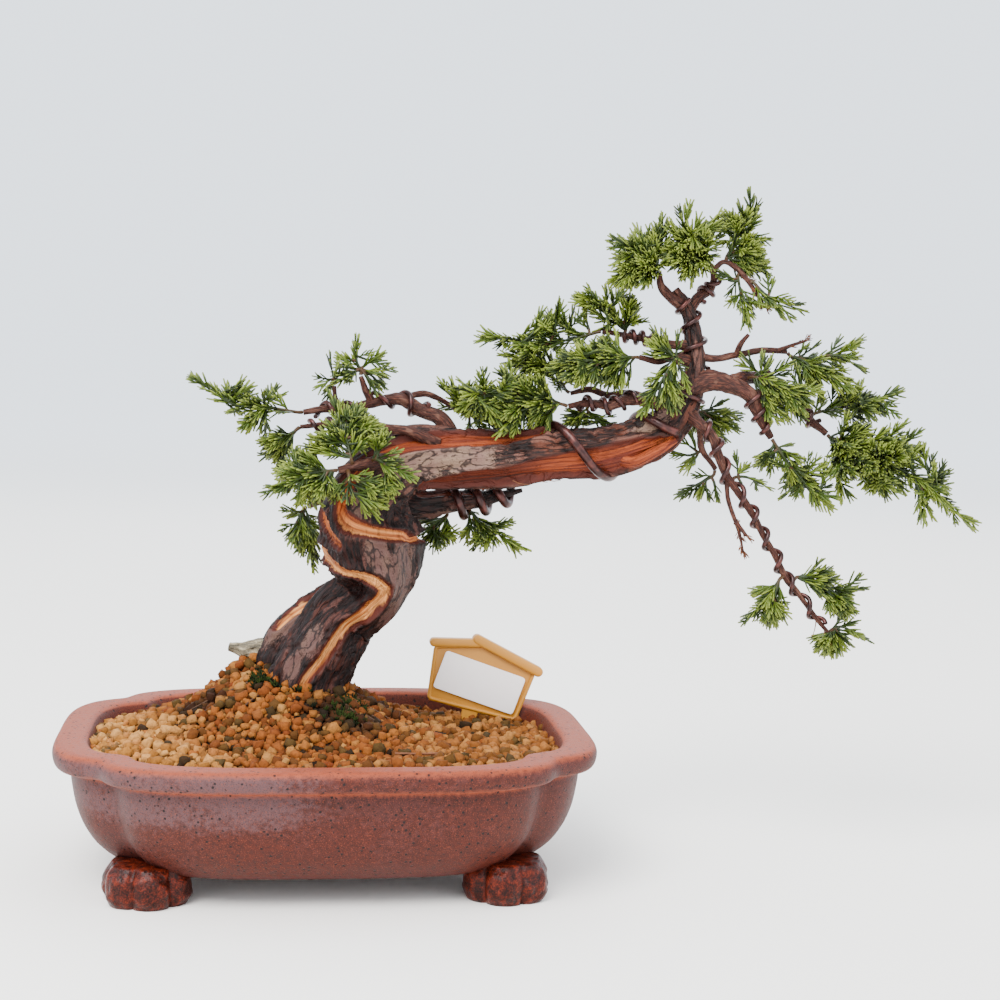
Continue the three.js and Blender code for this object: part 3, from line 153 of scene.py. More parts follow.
# A spray's stem, then its side shoots: the stem point that each leaves from and its tip.
SPRAYS = {
    "left_tip": ([[-15, -3, 207], [-28, -5, 209], [-43, -8, 210], [-57, -10, 219]],
        [[1, -25, 4, 217], [1, -31, -12, 215], [1, -39, -14, 200], [1, -30, -1, 196], [2, -46, -2, 216]]),
    "left_hanging": ([[-16, -6, 199], [-19, -6, 194], [-21, -8, 185]],
        [[0, -30, -13, 194], [0, -27, -4, 190], [1, -24, 2, 187]]),
    "upper_left": ([[13, 1, 226], [11, 0, 230], [11, -1, 235]],
        [[0, 3, -6, 221], [0, 4, 5, 227], [1, 5, 4, 232], [0, 19, 4, 231], [0, 29, 8, 225],
         [0, 27, 4, 218], [0, 22, -4, 216]]),
    "upper_left_bud": ([[1, -2, 221], [0, -2, 226]],
        [[0, -6, -6, 222], [0, -2, 3, 217], [0, 6, -6, 222]]),
    "front_upper": ([[8, -29, 188], [6, -25, 196], [2, -19, 208]],
        [[1, -7, -31, 198], [1, 22, -24, 201], [0, -13, -25, 193], [1, 12, -14, 210]]),
    "front_left": ([[0, -30, 183], [-9, -32, 182], [-22, -33, 176]],
        [[0, -17, -22, 189], [1, -22, -24, 183], [1, -16, -26, 170], [0, -7, -38, 172]]),
    "front_low": ([[7, -32, 181], [8, -34, 175], [15, -33, 168]],
        [[0, -1, -26, 170], [1, 24, -28, 168], [0, 29, -33, 175]]),
    "front_right": ([[18, -26, 188], [22, -30, 187], [28, -33, 184]],
        [[0, 27, -24, 191], [0, 21, -30, 197], [1, 25, -30, 173]]),
    "back_left": ([[-11, 27, 161], [-14, 28, 155], [-16, 30, 151]],
        [[0, -18, 22, 160], [0, -9, 34, 149], [1, -13, 24, 147], [0, -5, 27, 145], [0, -6, 28, 131]]),
    "behind_beam": ([[62, 17, 207], [72, 20, 204], [82, 22, 198]],
        [[0, 66, 24, 197], [1, 70, 25, 210], [1, 81, 15, 206], [0, 70, 9, 222], [0, 54, 6, 220],
         [0, 49, 13, 221]]),
    "under_left": ([[55, 18, 159], [50, 20, 155], [45, 22, 147]],
        [[0, 40, 28, 155], [1, 50, 15, 145], [0, 57, 24, 145]]),
    "under_right": ([[66, 18, 161], [74, 18, 155], [83, 16, 148]],
        [[0, 64, 22, 147], [1, 73, 11, 147], [1, 84, 23, 156], [0, 68, 12, 148]]),
    "crown_far_left": ([[122, 6, 246], [102, 4, 241], [74, 0, 242]],
        [[1, 100, 9, 256], [1, 103, -2, 260], [0, 116, 12, 256], [1, 86, -5, 235], [1, 106, -4, 232]]),
    "crown_upper": ([[135, 7, 248], [129, 8, 255], [118, 8, 260]],
        [[0, 141, 3, 252], [1, 123, 2, 265], [1, 133, 14, 265], [0, 135, 0, 261]]),
    "crown_middle": ([[136, -11, 235], [120, -15, 233], [108, -18, 234]],
        [[1, 111, -21, 223], [0, 128, -8, 221], [0, 124, -6, 242], [1, 117, -8, 224]]),
    "crown_middle_left": ([[108, 8, 219], [102, 7, 229], [84, 4, 234]],
        [[1, 97, 14, 232], [0, 113, 10, 227], [1, 94, -2, 225]]),
    "crown_low_left": ([[104, -8, 213], [87, -10, 214], [69, -13, 217], [59, -14, 219]],
        [[1, 77, -3, 230], [2, 66, -18, 223], [1, 75, -14, 198], [2, 59, -7, 206], [1, 84, -3, 204],
         [0, 88, -19, 226], [0, 94, -4, 204]]),
    "front_of_leader": ([[155, -14, 236], [150, -17, 229], [143, -19, 217]],
        [[0, 143, -13, 245], [0, 155, -14, 243], [1, 155, -19, 214],
         [0, 160, -15, 223]]),
    "over_beam": ([[117, 0, 210], [122, 2, 207], [129, 4, 204]],
        [[0, 111, 5, 208], [0, 107, -1, 204]]),
    "apex_left": ([[147, -2, 276], [141, -3, 281], [132, -5, 285]],
        [[0, 151, 4, 302], [1, 131, 7, 278], [1, 126, -9, 268], [0, 136, -11, 264], [1, 140, 6, 291],
         [0, 137, -15, 275]]),
    "apex_centre": ([[168, 2, 283], [162, 0, 289], [158, -2, 297]],
        [[0, 151, -14, 278], [0, 157, -13, 271], [1, 170, 7, 297], [0, 171, -11, 279],
         [0, 168, 15, 280]]),
    "apex_right": ([[181, 5, 282], [186, 6, 290], [192, 4, 302]],
        [[0, 194, -3, 287], [0, 200, 1, 279], [0, 202, 8, 275], [1, 179, 11, 297], [1, 182, -2, 299]]),
    "apex_droop": ([[192, 0, 271], [198, -3, 265], [209, -6, 260]],
        [[1, 203, 2, 270], [1, 204, -9, 257], [0, 200, -9, 258]]),
    "apex_hanging": ([[186, 2, 274], [187, 1, 266], [188, 0, 259]],
        [[1, 184, -3, 263], [1, 192, 4, 261], [0, 176, 5, 271]]),
    "right_upper": ([[213, 5, 237], [228, 7, 237], [242, 9, 243]],
        [[1, 252, 9, 233], [1, 244, 1, 238], [0, 225, 11, 240], [0, 224, 1, 230], [0, 245, 0, 225],
         [0, 232, 7, 215], [0, 239, -7, 222], [0, 222, 11, 213]]),
    "right_near": ([[194, -6, 227], [205, -11, 223], [217, -13, 221]],
        [[0, 191, -6, 234], [0, 208, -11, 234], [1, 213, -16, 215], [0, 217, -14, 209],
         [0, 196, -13, 200]]),
    "pad_upper": ([[227, 11, 210], [240, 13, 213], [262, 15, 218]],
        [[1, 240, 4, 219], [1, 253, 20, 219], [1, 265, 24, 213], [0, 232, 16, 215]]),
    "pad_end": ([[234, 6, 199], [253, 4, 191], [275, 2, 181], [297, 0, 163]],
        [[1, 281, 13, 196], [2, 291, 9, 184], [2, 286, -8, 175], [1, 264, -15, 192], [0, 251, 6, 206],
         [0, 240, -3, 212], [1, 268, 3, 208], [0, 262, -7, 199], [1, 279, 8, 202], [0, 241, -2, 186],
         [1, 258, -6, 172], [1, 253, 8, 172], [2, 277, -8, 161], [0, 235, -11, 171],
         [0, 236, -14, 195], [1, 243, -25, 186], [0, 231, -27, 183], [1, 248, -27, 196]]),
    "pad_left_low": ([[203, -9, 197], [210, -11, 187], [222, -14, 174]],
        [[0, 196, -6, 187], [1, 211, -3, 175], [1, 199, -19, 188], [1, 231, -7, 170]]),
    "behind_leader": ([[172, 14, 210], [180, 18, 211], [188, 22, 209]],
        [[0, 192, 15, 200], [0, 184, 21, 195], [0, 176, 26, 200]]),
    "drop_upper": ([[171, 2, 192], [166, 3, 190], [161, 5, 191]],
        [[0, 163, 8, 197], [0, 166, -1, 185]]),
    "drop_lower": ([[178, 4, 181], [174, 6, 178], [169, 8, 175]],
        [[0, 180, 1, 172], [1, 176, 11, 172]]),
    "drop_right": ([[185, -9, 181], [191, -7, 181], [198, -5, 178]],
        [[0, 187, -4, 188], [0, 190, -11, 175]]),
    "end_left": ([[207, -11, 134], [204, -13, 127], [196, -15, 121]],
        [[0, 202, -5, 126], [1, 204, -12, 114], [1, 213, -6, 114]]),
    "end_right": ([[217, -7, 135], [230, -5, 130], [242, -4, 129]],
        [[0, 229, -9, 138], [1, 244, 1, 122], [1, 240, -9, 117]]),
    "end_tip": ([[235, -5, 110], [240, -3, 111], [247, -2, 108]],
        [[0, 241, -7, 103], [0, 236, -1, 101], [0, 228, -13, 103]]),
}

# Strips of bare wood: place along the limb, angle round it in degrees and half width.
BARE_WOOD = {
    "trunk": [
        [(0.5, -8, 0.7), (1.4, -8, 1), (2, 0, 1.3), (2.9, 8, 1.7), (4, 9, 2), (4.4, 17, 1.9), (4.7, 19, 1.8),
         (4.95, 8, 1.6), (5.1, -6, 1.8), (5.3, -20, 2.1), (5.6, -40, 2.2), (5.8, -75, 2.2), (5.9, -130, 2.2)],
        [(5.9, -130, 2.2), (5.8, -190, 2.2), (5.6, -250, 2.2), (5.75, -281, 1.4), (6.25, -304, 1.7),
         (6.45, -326, 1.8), (6.65, -350, 1.5), (6.8, -366, 1.6), (6.95, -380, 1.6), (7.15, -390, 1.6),
         (7.6, -392, 1.6), (8.4, -396, 1.8), (9.1, -394, 2.4), (9.6, -392, 3), (10.3, -393, 3.6),
         (11.2, -399, 3.6), (12, -402, 3), (12.8, -404, 1.2)],
        [(6.9, -72, 0.8), (6.7, -56, 1.1), (6.5, -42, 1.1), (6.3, -24, 0.7)],
        [(10.2, 56, 0.8), (10.8, 53, 2.6), (11.6, 46, 3.2), (12.4, 40, 3.6), (13.1, 44, 4.6), (13.7, 40, 6),
         (14.3, 34, 6), (14.9, 30, 4.6), (15.4, 36, 3), (15.8, 44, 1.4)],
    ],
    "second_root": [[(0.1, 44, 1.2), (0.67, 50, 1.8), (1.38, 56, 2.3), (2.2, 58, 1.4)]],
    "under_beam": [[(0.8, -60, 1), (1.6, -70, 1.6), (2.6, -60, 1.2)]],
}
# How each strip is stained along the limb: 0 is pale tan, 0.5 orange, 1 red-orange and 1.4 dark brown.
WOOD_STAIN = {
    "trunk": [[(0.5, 0.25), (2, 0.1), (4.6, 0.1), (5.3, 0.2), (5.8, 0.3)],
              [(5.6, 0.4), (6.2, 0.4), (6.6, 0.25), (7.2, 0.5), (8, 0.75), (9.8, 1.05), (12.8, 1.1)],
              [(6.3, 0.45), (6.9, 0.45)],
              [(10.2, 1.35), (12.2, 1.3), (13, 1.1), (14.3, 1), (15.8, 0.8)]],
    "second_root": [[(0, 0.15), (2, 0.2)]],
    "under_beam": [[(0, 0.9), (3, 0.9)]],
}
# Smooth patches left where bark has peeled: place, angle, half length and half width.
SMOOTH_BARK = {
    "trunk": [(5.05, 52, 17, 9), (5.96, 10, 12, 3.6), (5.56, 22, 10, 2.8), (2.3, -30, 9, 4.5),
              (1.5, -34, 7, 4), (10.6, 4, 34, 7.5), (7.1, -6, 8, 3), (6.2, 150, 15, 8), (3, 160, 18, 7),
              (12, 170, 30, 6), (15.5, -30, 10, 4), (9.6, 80, 12, 5)],
    "second_root": [(1.6, 36, 12, 4), (2.3, 50, 10, 4), (1.2, -80, 10, 5)],
    "under_beam": [(2, 60, 20, 4)],
}
# Dark fibrous places: place, angle, half length, half width and depth. The first is the deep hollow
# between the two legs of the lower strip, and the second the bark between the two strips.
DARK_BARK = {"trunk": [(4.45, -20, 9, 8, 4), (6.05, -38, 7, 19, 0.4)]}
# How much further each strip has weathered on both sides, in millimetres.
STRIP_MARGIN = 0.7
# Limbs that have lost all their bark, and their stain.
STRIPPED = {"torn_wood": 0.95}

LABEL_SEAT, LABEL_TILT = (70.4, 48, 58.6), 15
LABEL_THICKNESS, LABEL_RECESS, RAIL_DEPTH = 2.4, 0.7, 6
LABEL_BOARD = [(-24.6, 29.5), (-21, 2.6), (-4, 2.6), (0, -26), (4, 2.6), (22, 3.2), (24.6, 29.5), (-2, 36.5)]
LABEL_PANEL = [(-22.4, 27.8), (-19, 4.8), (20, 5.2), (22.4, 27.8), (-2, 33.8)]
LABEL_RAILS = [((-26.5, 30.6), (-6, 35.6), 2.1), ((-6.4, 37.4), (26.6, 29.9), 2.4)]
STICKER_SIZE, STICKER_CENTRE, STICKER_TILT, STICKER_THICKNESS = (41.5, 19), (0.3, 17.4), 4.5, 0.5

# The photo's camera: where it stands, and its heading, pitch and roll in degrees.
CAMERA_PLACE = (-29.7, -859.8, 243.9)
CAMERA_HEADING, CAMERA_PITCH, CAMERA_ROLL = 7.11, 4.98, 1.34
CAMERA_LENS, CAMERA_SENSOR = 68.4, 36

pot_low, pot_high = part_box("pot")
SHIFT = np.array([(pot_low.x + pot_high.x) / 2 / MM, (pot_low.y + pot_high.y) / 2 / MM, 0])


def to_frame(points):
    """Points in the tables' millimetres, as metres in the frame."""
    return (np.asarray(points, float) + SHIFT) * MM


# Curves and noise

def smooth_step(low, high, value):
    share = np.clip((np.asarray(value, float) - low) / (high - low), 0, 1)
    return share * share * (3 - 2 * share)


def along_curve(points, share):
    """A centripetal Catmull-Rom curve through the points, at shares of its number of spans."""
    points = np.asarray(points, float)
    last = len(points) - 1
    where = np.clip(np.asarray(share, float), 0, 1) * last
    index = np.clip(np.floor(where).astype(int), 0, last - 1)
    part = (where - index)[:, None]
    longer = np.vstack([2 * points[0] - points[1], points, 2 * points[-1] - points[-2]])
    p0, p1, p2, p3 = (longer[index + k] for k in range(4))
    gaps = [np.sqrt(np.maximum(np.linalg.norm(b - a, axis=1), 1e-6))[:, None]
            for a, b in ((p0, p1), (p1, p2), (p2, p3))]
    leave = ((p1 - p0) / gaps[0] - (p2 - p0) / (gaps[0] + gaps[1]) + (p2 - p1) / gaps[1]) * gaps[1]
    arrive = ((p2 - p1) / gaps[1] - (p3 - p1) / (gaps[1] + gaps[2]) + (p3 - p2) / gaps[2]) * gaps[1]
    square = 3 * (p2 - p1) - 2 * leave - arrive
    cube = 2 * (p1 - p2) + leave + arrive
    return p1 + leave * part + square * part**2 + cube * part**3


def along_values(values, share):
    """A uniform Catmull-Rom curve through single numbers."""
    values = np.asarray(values, float)
    last = len(values) - 1
    where = np.clip(np.asarray(share, float), 0, 1) * last
    index = np.clip(np.floor(where).astype(int), 0, last - 1)
    part = where - index
    before, here = values[np.maximum(index - 1, 0)], values[index]
    there, after = values[index + 1], values[np.minimum(index + 2, last)]
    leave, arrive = (there - before) / 2, (after - here) / 2
    cube = 2 * here - 2 * there + leave + arrive
    square = -3 * here + 3 * there - 2 * leave - arrive
    return cube * part**3 + square * part**2 + leave * part + here


def lengths_along(points):
    """How far along a line of points each of them lies."""
    steps = np.linalg.norm(np.diff(points, axis=0), axis=1)
    return np.concatenate([[0], np.cumsum(steps)])


def even_angles(count):
    return np.arange(count) / count * math.tau


def noise(points, size, seed=0):
    """Smooth numbers from -1 to 1 that change over about `size`."""
    points = np.asarray(points, float) / size
    cell = np.floor(points).astype(np.int64)
    part = points - cell
    part = part * part * (3 - 2 * part)
    total = np.zeros(len(points))
    for corner in itertools.product((0, 1), repeat=3):
        key = (cell + corner) @ np.array([73856093, 19349663, 83492791]) + seed * 7919
        key = (key ^ (key >> 13)) * 1274126177
        value = ((key ^ (key >> 16)) & 0xFFFF) / 32767.5 - 1
        total += value * np.prod(np.where(corner, part, 1 - part), axis=1)
    return total


def layered_noise(points, size, seed=0, layers=3):
    return sum(noise(points, size / 2**k, seed + 11 * k) / 2**k for k in range(layers)) / 1.4


# Limbs

class Limb:
    """Round tapered wood along a curve, with frames carried along it."""

    def __init__(self, points, bark=0.0):
        points = np.asarray(points, float)
        self.points, self.radii, self.bark = points[:, :3], points[:, 3], bark
        self.spans = len(points) - 1
        self.grid = np.linspace(0, self.spans, self.spans * 24 + 1)
        share = self.grid / self.spans
        ahead = along_curve(self.points, np.minimum(share + 1e-4, 1))
        behind = along_curve(self.points, np.maximum(share - 1e-4, 0))
        self.tangents = (ahead - behind) / np.linalg.norm(ahead - behind, axis=1)[:, None]
        self.normals = self.carried_normals()
        self.sides = np.cross(self.tangents, self.normals)
        self.lengths = lengths_along(self.centre(self.grid))
        self.length = self.lengths[-1]

    def carried_normals(self):
        normal, previous, normals = FRONT, self.tangents[0], []
        for tangent in self.tangents:
            axis = np.cross(previous, tangent)
            sine = np.linalg.norm(axis)
            if sine > 1e-9:
                axis, cosine = axis / sine, previous @ tangent
                turned = normal * cosine + np.cross(axis, normal) * sine
                normal = turned + axis * (axis @ normal) * (1 - cosine)
            normal = normal - tangent * (normal @ tangent)
            normal = normal / np.linalg.norm(normal)
            normals.append(normal)
            previous = tangent
        return np.array(normals)

    def read(self, table, place):
        found = np.stack([np.interp(place, self.grid, table[:, k]) for k in range(3)], axis=-1)
        return found / np.linalg.norm(found, axis=-1, keepdims=True)

    def centre(self, place):
        return along_curve(self.points, np.atleast_1d(place) / self.spans)

    def radius(self, place):
        return along_values(self.radii, np.atleast_1d(place) / self.spans)

    def ridged_radius(self, place, angle):
        ridges = 0.6 * np.cos(3 * angle + 1.1 * place) + 0.4 * np.cos(5 * angle - 1.7 * place)
        return self.radius(place) * (1 + self.bark * smooth_step(1, 2, place) * ridges)

    def outward(self, place, angle):
        normal, side = self.read(self.normals, place), self.read(self.sides, place)
        return normal * np.cos(angle)[..., None] + side * np.sin(angle)[..., None]

    def bend_limit(self, place, way):
        """A tight bend keeps its inner side from folding through itself."""
        before, after = np.maximum(place - 0.1, 0), np.minimum(place + 0.1, self.spans)
        turn = self.read(self.tangents, after) - self.read(self.tangents, before)
        apart = np.linalg.norm(self.centre(after) - self.centre(before), axis=1)
        curvature = np.sum(turn * way, axis=1) / apart
        return np.where(curvature > 1e-6, 0.85 / np.maximum(curvature, 1e-6), 1e6)

    def mm_at(self, place):
        return np.interp(place, self.grid, self.lengths)

    def places_every(self, step):
        """Places spaced evenly by length, from one end to the other."""
        count = max(2, round(self.length / step))
        return np.interp(np.linspace(0, self.length, count + 1), self.lengths, self.grid)


limbs = {"trunk": Limb(TRUNK, TRUNK_BARK), **{name: Limb(points) for name, points in BRANCHES.items()}}


def limb_samples(skipped=()):
    """Centres and radii of short stretches of every limb, for keeping things clear of the wood."""
    kept = [limb for name, limb in limbs.items() if name not in skipped]
    centres = np.vstack([limb.centre(limb.grid[::2]) for limb in kept])
    radii = np.concatenate([limb.radius(limb.grid[::2]) * (1 + limb.bark) for limb in kept])
    return centres, radii


def clearance(points, centres, radii):
    """How far each point lies outside the nearest of the round samples."""
    points = np.atleast_2d(points)
    return np.min(np.linalg.norm(points[:, None] - centres[None], axis=2) - radii, axis=1)


# Blender objects and nodes

def link(name, mesh):
    piece = bpy.data.objects.new(name, mesh)
    bpy.context.scene.collection.objects.link(piece)
    return piece


def make_mesh(name, vertices, faces, attributes=None):
    """A smooth mesh with its vertices in metres, and number or vector attributes on its points."""
    mesh = bpy.data.meshes.new(name)
    mesh.from_pydata(np.asarray(vertices, float).tolist(), [], [list(face) for face in faces])
    mesh.polygons.foreach_set("use_smooth", [True] * len(mesh.polygons))
    for label, values in (attributes or {}).items():
        set_attribute(mesh, label, values)
    mesh.update()
    return mesh


def set_attribute(mesh, label, values):
    values = np.asarray(values, np.float32)
    kind, field = ("FLOAT_VECTOR", "vector") if values.ndim == 2 else ("FLOAT", "value")
    mesh.attributes.new(label, kind, "POINT").data.foreach_set(field, values.ravel())


def ring_faces(rings, sides):
    """Quads between rings of a tube, and a fan of triangles over each end's middle vertex."""
    faces = []
    for ring in range(rings - 1):
        for side in range(sides):
            a, b = ring * sides + side, ring * sides + (side + 1) % sides
            faces.append((a, b, b + sides, a + sides))
    start, end, top = rings * sides, rings * sides + 1, (rings - 1) * sides
    for side in range(sides):
        faces.append((start, (side + 1) % sides, side))
        faces.append((end, top + side, top + (side + 1) % sides))
    return faces


def join(name, pieces):
    """Several objects as one, under a new name."""
    with bpy.context.temp_override(active_object=pieces[0], selected_editable_objects=pieces):
        bpy.ops.object.join()
    pieces[0].name = name
    pieces[0].data.name = name
    return pieces[0]


def paint_piece(piece, material):
    piece.data.materials.clear()
    piece.data.materials.append(material)


def finish_piece(piece, material=None, replaced=()):
    """Paints a piece, and says which nodes it replaces and the body that it rides on."""
    if material:
        paint_piece(piece, material)
    if replaced:
        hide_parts(*replaced)
    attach(piece, "root")
    return piece


def add_node(tree, kind, values=None, **settings):
    """One node. Its settings are set first, and then its sockets get values or links."""
    node = tree.nodes.new(kind)
    for name, setting in settings.items():
        setattr(node, name, setting)
    for name, value in (values or {}).items():
        value = getattr(value, "socket", value)
        if isinstance(value, bpy.types.NodeSocket):
            tree.links.new(value, node.inputs[name])
        else:
            node.inputs[name].default_value = value
    return node


class Field:
    """A socket's value, which operators on it turn into Math nodes."""

    def __init__(self, tree, socket):
        self.tree, self.socket = tree, socket

    def math(self, operation, *values):
        node = add_node(self.tree, "ShaderNodeMath", dict(enumerate(values)), operation=operation)
        return Field(self.tree, node.outputs[0])

    def __add__(self, other):
        return self.math("ADD", self, other)

    def __sub__(self, other):
        return self.math("SUBTRACT", self, other)

    def __rsub__(self, other):
        return self.math("SUBTRACT", other, self)

    def __mul__(self, other):
        return self.math("MULTIPLY", self, other)

    def __abs__(self):
        return self.math("ABSOLUTE", self)

    __radd__, __rmul__ = __add__, __mul__

    def rising(self, low, high):
        """0 below `low`, 1 above `high` and smooth between them."""
        node = add_node(self.tree, "ShaderNodeMapRange", {"Value": self, "From Min": low, "From Max": high},
                        interpolation_type="SMOOTHSTEP")
        return Field(self.tree, node.outputs["Result"])


def colour(code):
    """A colour written as on a paint chart, in the linear numbers that a shader takes."""
    parts = [int(code[k:k + 2], 16) / 255 for k in (0, 2, 4)]
    return (*[part / 12.92 if part <= 0.04045 else ((part + 0.055) / 1.055) ** 2.4 for part in parts], 1)


class Finish:
    """A material on one Principled shader."""

    def __init__(self, name, **constants):
        self.material = bpy.data.materials.new(name)
        self.material.use_nodes = True
        self.tree = self.material.node_tree
        self.shader = self.tree.nodes["Principled BSDF"]
        for socket, value in constants.items():
            self.shader.inputs[socket.replace("_", " ")].default_value = value
        self.coordinates = Field(self.tree, add_node(self.tree, "ShaderNodeTexCoord").outputs["Object"])

    def node(self, kind, values=None, output=0, **settings):
        return Field(self.tree, add_node(self.tree, kind, values, **settings).outputs[output])

    def attribute(self, name, output="Fac"):
        return self.node("ShaderNodeAttribute", output=output, attribute_name=name)

    def noise(self, size, detail=2, at=None):
        """Cloudy numbers about 0.5 that change over about `size` of what `at` is measured in."""
        sockets = {"Vector": at or self.coordinates, "Scale": 1 / size, "Detail": detail}
        return self.node("ShaderNodeTexNoise", sockets)

    def cells(self, size):
        """The distance to the middle of the nearest of many cells."""
        sockets = {"Vector": self.coordinates, "Scale": 1 / size}
        return self.node("ShaderNodeTexVoronoi", sockets, "Distance")

    def stretched(self, at, z):
        return self.node("ShaderNodeMapping", {"Vector": at, "Scale": (1, 1, z)})

    def parts(self, vector):
        """A vector's x, y and z."""
        node = add_node(self.tree, "ShaderNodeSeparateXYZ", {"Vector": vector})
        return [Field(self.tree, socket) for socket in node.outputs]

    def ramp(self, factor, stops):
        node = add_node(self.tree, "ShaderNodeValToRGB", {"Fac": factor})
        elements = node.color_ramp.elements
        while len(elements) < len(stops):
            elements.new(0.5)
        for element, (position, code) in zip(elements, stops):
            element.position = position
            element.color = colour(code)
        return Field(self.tree, node.outputs["Color"])

    def mix(self, factor, first, second, blend="MIX"):
        """`first` where the factor is 0 and `second` where it is 1."""
        first, second = (colour(c) if isinstance(c, str) else c for c in (first, second))
        sockets = {0: factor, 6: first, 7: second}
        return self.node("ShaderNodeMix", sockets, 2, data_type="RGBA", blend_type=blend)

    def deepened(self, skin, tint):
        """The whole skin, multiplied by a tint."""
        return self.mix(1.0, skin, tint, "MULTIPLY")

    def paint(self, **sockets):
        for socket, value in sockets.items():
            self.tree.links.new(value.socket, self.shader.inputs[socket.replace("_", " ")])

    def relief(self, height, depth, strength=1.0):
        """Bump from a height field whose 0 to 1 is `depth` metres."""
        bump = self.node("ShaderNodeBump", {"Height": height, "Distance": depth, "Strength": strength})
        self.paint(Normal=bump)


def geometry_tree(name, inputs):
    """A Geometry Nodes tree with named inputs. Returns the tree and its input sockets."""
    tree = bpy.data.node_groups.new(name, "GeometryNodeTree")
    tree.interface.new_socket("Geometry", in_out="INPUT", socket_type="NodeSocketGeometry")
    for label, kind in inputs.items():
        tree.interface.new_socket(label, in_out="INPUT", socket_type="NodeSocket" + kind)
    tree.interface.new_socket("Geometry", in_out="OUTPUT", socket_type="NodeSocketGeometry")
    return tree, tree.nodes.new("NodeGroupInput").outputs


def close_tree(tree, geometry, material):
    """Every tree ends in plain smooth mesh with its material set."""
    real = add_node(tree, "GeometryNodeRealizeInstances", {"Geometry": geometry})
    smooth = add_node(tree, "GeometryNodeSetShadeSmooth", {"Geometry": real.outputs[0]})
    painted = add_node(tree, "GeometryNodeSetMaterial", {"Geometry": smooth.outputs[0], "Material": material})
    tree.links.new(painted.outputs[0], tree.nodes.new("NodeGroupOutput").inputs[0])
    return tree


def named(tree, label, kind="FLOAT"):
    return add_node(tree, "GeometryNodeInputNamedAttribute", {"Name": label}, data_type=kind).outputs[0]


def rod_tree():
    """Round rods along a mesh's chains of edges, as thick as each point's `thickness`."""
    tree, inputs = geometry_tree("rods_along_paths", {"Sides": "Int", "Material": "Material"})
    curve = add_node(tree, "GeometryNodeMeshToCurve", {"Mesh": inputs["Geometry"]})
    circle = add_node(tree, "GeometryNodeCurvePrimitiveCircle",
                      {"Resolution": inputs["Sides"], "Radius": 1.0})
    values = {
        "Curve": curve.outputs[0], "Profile Curve": circle.outputs[0], "Scale": named(tree, "thickness"),
        "Fill Caps": True,
    }
    rods = add_node(tree, "GeometryNodeCurveToMesh", values)
    return close_tree(tree, rods.outputs[0], inputs["Material"])


def separate_shapes(tree, inputs):
    """The shapes of a collection, to be copied one by one."""
    values = {"Collection": inputs["Shapes"], "Separate Children": True, "Reset Children": True}
    return add_node(tree, "GeometryNodeCollectionInfo", values).outputs[0]


def random_numbers(tree, low, high, seed):
    """A number between two for each point."""
    values = {2: low, 3: high, "Seed": seed}
    return add_node(tree, "FunctionNodeRandomValue", values, data_type="FLOAT").outputs[1]


def planting_tree():
    """A copy of one of the shapes on each point, turned and sized by the point's attributes."""
    tree, inputs = geometry_tree("shapes_on_points", {"Shapes": "Collection", "Material": "Material"})
    turn = add_node(tree, "FunctionNodeEulerToRotation", {"Euler": named(tree, "turn", "FLOAT_VECTOR")})
    values = {
        "Points": inputs["Geometry"], "Instance": separate_shapes(tree, inputs), "Pick Instance": True,
        "Instance Index": named(tree, "pick", "INT"), "Rotation": turn.outputs[0],
        "Scale": named(tree, "size", "FLOAT_VECTOR"),
    }
    planted = add_node(tree, "GeometryNodeInstanceOnPoints", values)
    return close_tree(tree, planted.outputs[0], inputs["Material"])


# The most stones for each square metre, how unevenly they are lifted, and the highest pick of a shape.
STONE_DENSITY, LOWEST_LIFT, HIGHEST_LIFT, LAST_PICK = 2e6, -0.2, 1.9, 63
LIFT_SEED, PICK_SEED, TONE_SEED = 4, 5, 9


def gravel_tree():
    """Stones scattered over a surface, no two closer than the spacing, turned and sized at random."""
    tree, inputs = geometry_tree("stones_on_surface", {
        "Spacing": "Float", "Smallest": "Float", "Largest": "Float", "Sink": "Float", "Seed": "Int",
        "Shapes": "Collection", "Material": "Material"})
    values = {
        "Mesh": inputs["Geometry"], "Distance Min": inputs["Spacing"], "Density Max": STONE_DENSITY,
        "Density Factor": named(tree, "open"), "Seed": inputs["Seed"],
    }
    points = add_node(tree, "GeometryNodeDistributePointsOnFaces", values, distribute_method="POISSON")
    lift = random_numbers(tree, LOWEST_LIFT, HIGHEST_LIFT, LIFT_SEED)
    raised = add_node(tree, "ShaderNodeMath", {0: inputs["Sink"], 1: lift}, operation="MULTIPLY")
    offset = add_node(tree, "ShaderNodeVectorMath",
                      {0: points.outputs["Normal"], "Scale": raised.outputs[0]}, operation="SCALE")
    lifted = add_node(tree, "GeometryNodeSetPosition",
                      {"Geometry": points.outputs[0], "Offset": offset.outputs[0]})
    turn = add_node(tree, "FunctionNodeRandomValue",
                    {"Max": (math.tau,) * 3, "Seed": inputs["Seed"]}, data_type="FLOAT_VECTOR")
    pick = add_node(tree, "FunctionNodeRandomValue", {4: 0, 5: LAST_PICK, "Seed": PICK_SEED},
                    data_type="INT")
    stones = add_node(tree, "GeometryNodeInstanceOnPoints", {
        "Points": lifted.outputs[0], "Instance": separate_shapes(tree, inputs), "Pick Instance": True,
        "Instance Index": pick.outputs[2], "Rotation": turn.outputs[0],
        "Scale": random_numbers(tree, inputs["Smallest"], inputs["Largest"], 0)})
    tone = random_numbers(tree, 0, 1, TONE_SEED)
    toned = add_node(tree, "GeometryNodeStoreNamedAttribute",
                     {"Geometry": stones.outputs[0], "Name": "tone", "Value": tone},
                     data_type="FLOAT", domain="INSTANCE")
    return close_tree(tree, toned.outputs[0], inputs["Material"])


